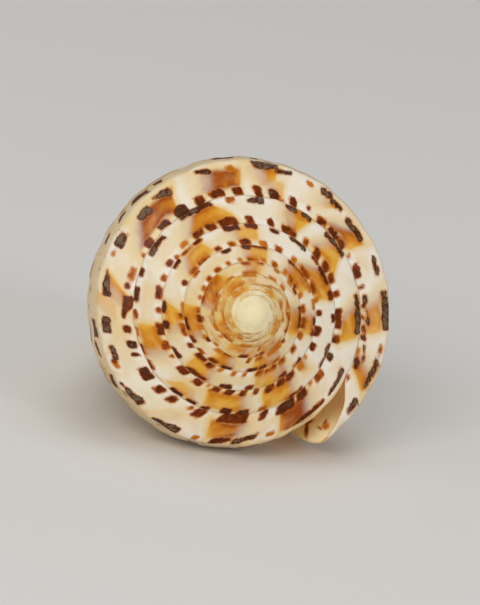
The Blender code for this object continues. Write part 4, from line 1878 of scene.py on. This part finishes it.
@dataclass(frozen=True)
class ShellFinish:
    """Glossy shell: ground, clouds, marks, seam lines, side rows, inside with painted shade and a painted
    glow, and growth lines.
    """

    hollow: HollowMarks
    ground: GroundColours = GroundColours()
    clouds: CloudColours = CloudColours()
    marks: MarkColours = MarkColours()
    side: SideRows = SideRows()
    inside: HollowColours = HollowColours()
    seam_line: Colour = (0.36, 0.22, 0.06)
    # painted glow: emission on the hollow's wall stands in for light shining through the thin shell
    painted_glow: float = 0.6
    painted_glow_least: float = 0.5
    mark_roughness: float = 0.06
    specular: float = 0.11
    coat: float = 0.07
    coat_roughness: float = 0.1
    ior: float = 1.45
    fresh_turns: Fade = Fade(-5.2, -3.2)
    side_depth: Fade = Fade(0.0, 0.5, 0.0, 0.7)
    ragged_turns: Fade = Fade(-5.0, -1.0, 0.45, 1.0)
    ragged_inside: Fade = Fade(0.0, 1.0, 1.0, 0.25)
    ragged_side: Fade = Fade(0.0, 0.8, 1.0, 1.5)
    side_cloud_grain: Grain = Grain(1.0, 4.0, 0.55, 0.4, (10.0, 1.1))
    side_cloud_pace: float = 0.36
    side_cloud_swing: float = 0.07
    side_cloud_share: Fade = Fade(0.5, 0.68, 1.2, -1.0)
    side_cloud_top: Fade = Fade(1.0, 3.0, 2.0, 0.0)
    wobble_grain: Grain = Grain(900.0, 2.0)
    wobble_size: float = 0.2
    seam_width: Fade = Fade(0.0, 0.08, 0.6, 0.0)
    seam_turns: Fade = Fade(-6.2, -4.6)
    seam_breaks: Fade = Fade(0.3, 0.55, 0.35, 1.0)
    dull_grain: Grain = Grain(500.0, 4.0, 0.6)
    dull_share: Fade = Fade(0.3, 0.7, 0.22, 0.34)
    line_grain: Grain = Grain(1.0, 4.0, 0.65, 0.0, (420.0, 1.2))
    spiral_grain: Grain = Grain(1.0, 3.0, 0.6, 0.0, (3.0, 34.0))
    pit_grain: Grain = Grain(1800.0, 3.0, 0.6)
    spiral_share: float = 0.5
    pit_share: float = 0.35
    relief_strength: float = 0.22
    relief_depth: float = 0.12 * MM

    def material(self) -> bpy.types.Material:
        """The whole material, on the growth map, the stored values and Object coordinates.

        Returns:
            The material of the shell.
        """
        made = bpy.data.materials.new("spotted_shell")
        made.use_nodes = True
        made.node_tree.nodes.clear()
        graph = Graph(made.node_tree)
        graph.given = {
            "Place": graph.node("ShaderNodeTexCoord").outputs["Object"],
            "Growth": graph.node("ShaderNodeUVMap", uv_map="growth").outputs["UV"],
            "Turns": graph.value_of("turns"),
            "Down": graph.value_of("down"),
            "Inside": graph.value_of("inside"),
        }
        lined = graph.mix(self.seam_mask(graph), self.cloudy(graph), self.seam_line)
        hollow, pale = self.inside.colour(graph)
        spotted = self.spotted(graph, graph.mix("Inside", lined, hollow))
        shader = graph.node("ShaderNodeBsdfPrincipled")
        graph.feed(shader.inputs["Base Color"], spotted.outputs["Colour"])
        # painted glow: emission on the hollow's wall, stronger in the pale zone, stands in for light
        # through the thin shell
        lit = graph.times("Inside", graph.plus(graph.times(pale, 1.0 - self.painted_glow_least), self.painted_glow_least))
        painted_glow = graph.mix(lit, (0.0, 0.0, 0.0), spotted.outputs["Colour"])
        graph.feed(shader.inputs["Emission Color"], painted_glow)
        shader.inputs["Emission Strength"].default_value = self.painted_glow
        graph.feed(shader.inputs["Roughness"], self.dullness(graph, spotted.outputs["Mask"]))
        shader.inputs["Metallic"].default_value = 0.0
        shader.inputs["IOR"].default_value = self.ior
        shader.inputs["Specular IOR Level"].default_value = self.specular
        shader.inputs["Coat Weight"].default_value = self.coat
        shader.inputs["Coat Roughness"].default_value = self.coat_roughness
        graph.feed(shader.inputs["Normal"], self.relief(graph))
        leave = graph.node("ShaderNodeOutputMaterial")
        graph.feed(leave.inputs["Surface"], shader.outputs["BSDF"])
        return made

    def cloudy(self, graph: Graph) -> Socket:
        """The ground with its clouds.

        Args:
            graph: the material's nodes.

        Returns:
            The colour.
        """
        ground = graph.group(
            self.ground.group(), Place="Place", Growth="Growth", Turns="Turns",
            Down="Down", Seam=graph.value_of("seam"), Warmth=graph.value_of("warmth"),
            Band=graph.value_of("band"), Mark=graph.value_of("mark"),
        )
        made = graph.group(
            self.clouds.group(), Ground=ground.outputs[0], Place="Place", Growth="Growth",
            Gap=graph.smaller(graph.value_of("cloud"), self.side_cloud(graph)),
            Red=graph.value_of("cloud_red"),
            Depth=graph.larger(graph.value_of("cloud_depth"), graph.fade("Down", self.side_depth)),
            Veil=graph.value_of("veil"), Mark=graph.value_of("mark"),
            Fresh=graph.fade("Turns", self.fresh_turns),
        )
        return made.outputs[0]

    def spotted(self, graph: Graph, below: Socket) -> bpy.types.Node:
        """The marks of the spire, of the side and of the hollow over what lies below them.

        Args:
            graph: the material's nodes.
            below: the colour below the marks.

        Returns:
            The node of the marks' group.
        """
        rows, row_tone = self.side.gap(graph)
        spots = graph.group(self.hollow.group(), Place="Place")
        in_hollow = graph.plus(spots.outputs["Gap"], graph.times(graph.rest("Inside"), FAR_OFF))
        gap = graph.smaller(graph.smaller(graph.value_of("mark"), rows), in_hollow)
        tone = graph.plus(graph.value_of("mark_tone"), row_tone)
        tone = graph.plus(tone, graph.times("Inside", spots.outputs["Tone"]))
        ragged = graph.fade("Turns", self.ragged_turns)
        ragged = graph.times(ragged, graph.fade("Inside", self.ragged_inside))
        ragged = graph.times(ragged, graph.fade("Down", self.ragged_side))
        return graph.group(
            self.marks.group(), Below=below, Place="Place", Growth="Growth",
            Gap=gap, Tone=tone, Ragged=ragged,
        )

    def side_cloud(self, graph: Graph) -> Socket:
        """Orange clouds in broad spiral bands on the side.

        Args:
            graph: the material's nodes.

        Returns:
            The distance past a cloud's border.
        """
        wide = graph.noise("Growth", self.side_cloud_grain)
        band = graph.math("SINE", graph.times("Down", self.side_cloud_pace))
        cloud = graph.plus(wide, graph.times(band, self.side_cloud_swing))
        return graph.plus(graph.fade(cloud, self.side_cloud_share), graph.fade("Down", self.side_cloud_top))

    def seam_mask(self, graph: Graph) -> Socket:
        """Thin broken line along the seam, which wears away near the apex.

        Args:
            graph: the material's nodes.

        Returns:
            The mask.
        """
        wobble = graph.noise("Place", self.wobble_grain)
        gap = graph.minus(graph.value_of("seam"), graph.times(wobble, self.wobble_size))
        line = graph.fade(gap, self.seam_width)
        line = graph.times(line, graph.fade("Turns", self.seam_turns))
        return graph.times(line, graph.fade(wobble, self.seam_breaks))

    def dullness(self, graph: Graph, mask: Socket) -> Socket:
        """Roughness: a little uneven, and a touch duller on the marks.

        Args:
            graph: the material's nodes.
            mask: 1 on the marks.

        Returns:
            The roughness.
        """
        base = graph.fade(graph.noise("Place", self.dull_grain), self.dull_share)
        return graph.plus(base, graph.times(mask, self.mark_roughness))

    def relief(self, graph: Graph) -> Socket:
        """Fine growth lines with faint spiral threads and pitting.

        Args:
            graph: the material's nodes.

        Returns:
            The normal.
        """
        lines = graph.noise("Growth", self.line_grain)
        spiral = graph.noise("Growth", self.spiral_grain)
        pits = graph.noise("Place", self.pit_grain)
        height = graph.plus(lines, graph.times(spiral, self.spiral_share))
        height = graph.plus(height, graph.times(pits, self.pit_share))
        bump = graph.node("ShaderNodeBump")
        bump.inputs["Strength"].default_value = self.relief_strength
        bump.inputs["Distance"].default_value = self.relief_depth
        graph.feed(bump.inputs["Height"], height)
        return bump.outputs["Normal"]


class Lamp(NamedTuple):
    """One square soft light: its name, place, width, power and colour."""

    name: str
    place: tuple[float, float, float]
    size: float
    power: float
    colour: Colour


@dataclass
class Studio:
    """Pale floor, soft lights and the camera."""

    form: ShellForm
    view: PhotoView
    apex: Array
    floor_half: float = 3.0
    floor_colour: Colour = (0.78, 0.77, 0.75)
    floor_grain: Grain = Grain(3.0, 2.0)
    floor_shade: float = 0.96
    floor_roughness: float = 0.85
    world_colour: Colour = (1.0, 0.99, 0.97)
    world_strength: float = 0.3
    aim: tuple[float, float, float] = (0.0, 0.0, 0.02)
    lamps: tuple[Lamp, ...] = (
        Lamp("key_light", (-0.55, -1.05, 0.7), 0.7, 8.0, (1.0, 0.985, 0.96)),
        Lamp("side_light", (-1.1, -0.25, 0.3), 0.6, 1.6, (1.0, 0.99, 0.97)),
        Lamp("fill_light", (0.6, -1.0, 0.35), 0.6, 4.0, (1.0, 0.99, 0.97)),
        Lamp("top_light", (0.1, 0.1, 1.2), 0.8, 3.0, (1.0, 1.0, 1.0)),
    )
    nearest: float = 0.05
    farthest: float = 20.0

    def floor(self) -> bpy.types.Object:
        """A flat square floor under the shell.

        Returns:
            The floor's object.
        """
        half = self.floor_half
        corners = [(-half, -half, 0.0), (half, -half, 0.0), (half, half, 0.0), (-half, half, 0.0)]
        data = bpy.data.meshes.new("studio_floor")
        data.from_pydata(corners, [], [(0, 1, 2, 3)])
        data.materials.append(self.floor_material())
        made = bpy.data.objects.new("studio_floor", data)
        bpy.context.scene.collection.objects.link(made)
        return made

    def floor_material(self) -> bpy.types.Material:
        """Matt pale board with a very faint unevenness.

        Returns:
            The floor's material.
        """
        made = bpy.data.materials.new("pale_floor")
        made.use_nodes = True
        graph = Graph(made.node_tree)
        shader = made.node_tree.nodes["Principled BSDF"]
        place = graph.node("ShaderNodeTexCoord").outputs["Object"]
        soft = graph.noise(place, self.floor_grain)
        darker = tuple(channel * self.floor_shade for channel in self.floor_colour)
        graph.feed(shader.inputs["Base Color"], graph.mix(soft, self.floor_colour, darker))
        shader.inputs["Roughness"].default_value = self.floor_roughness
        return made

    def light(self, lamp: Lamp) -> None:
        """A square soft light that faces the shell.

        Args:
            lamp: what the light is like.
        """
        data = bpy.data.lights.new(lamp.name, "AREA")
        data.shape = "SQUARE"
        data.size = lamp.size
        data.energy = lamp.power
        data.color = lamp.colour
        made = bpy.data.objects.new(lamp.name, data)
        made.location = lamp.place
        facing = Vector(self.aim) - Vector(lamp.place)
        made.rotation_euler = facing.to_track_quat("-Z", "Y").to_euler()
        bpy.context.scene.collection.objects.link(made)

    def lights(self) -> None:
        """A large soft key over the camera's left, weaker lights round the shell, and a pale sky."""
        for lamp in self.lamps:
            self.light(lamp)
        world = bpy.data.worlds.new("studio_sky")
        world.use_nodes = True
        sky = world.node_tree.nodes["Background"]
        sky.inputs["Color"].default_value = (*self.world_colour, 1.0)
        sky.inputs["Strength"].default_value = self.world_strength
        bpy.context.scene.world = world

    def camera(self) -> None:
        """A long lens at the photograph's viewing angle, with the shell where it is in the frame."""
        turn = self.form.lay_down()
        right, up, forward = (turn @ axis for axis in self.view.axes())
        per_pixel = MM / self.view.pixels_per_mm
        across = (self.view.frame_width / 2.0 - self.view.apex_pixel[0]) * per_pixel
        rise = (self.view.apex_pixel[1] - self.view.frame_height / 2.0) * per_pixel
        target = self.apex + right * across + up * rise + forward * self.view.exact_depth
        data = bpy.data.cameras.new("photo_camera")
        data.sensor_fit = "VERTICAL"
        data.sensor_height = self.view.sensor_height
        tall = self.view.frame_height * per_pixel
        data.lens = self.view.sensor_height * self.view.distance / tall
        data.clip_start = self.nearest
        data.clip_end = self.farthest
        data.dof.use_dof = False
        made = bpy.data.objects.new("photo_camera", data)
        facing = Matrix(np.stack((right, up, -forward), axis=1).tolist()).to_4x4()
        made.matrix_world = Matrix.Translation(Vector(target - forward * self.view.distance)) @ facing
        bpy.context.scene.collection.objects.link(made)
        bpy.context.scene.camera = made


def main() -> None:
    """Build the shell, dress it, and set up the studio."""
    logging.basicConfig(level=logging.INFO, format="%(name)s: %(message)s")
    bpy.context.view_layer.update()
    form = ShellForm()
    view = PhotoView()
    shell = ConeShell(form, Pattern(form, view))
    piece = shell.build()
    hollow = HollowMarks(form, view, tuple(shell.shift))
    piece.data.materials.append(ShellFinish(hollow).material())
    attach(piece, "root")
    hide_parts("shell")
    LOG.info("shell: %d faces", len(piece.data.polygons))
    studio = Studio(form, view, shell.shift)
    studio.floor()
    studio.lights()
    studio.camera()
    bpy.context.scene.view_settings.view_transform = "Standard"
    LOG.info("studio: floor, %d lights and the camera", len(studio.lamps))


if __name__ == "__main__":
    main()
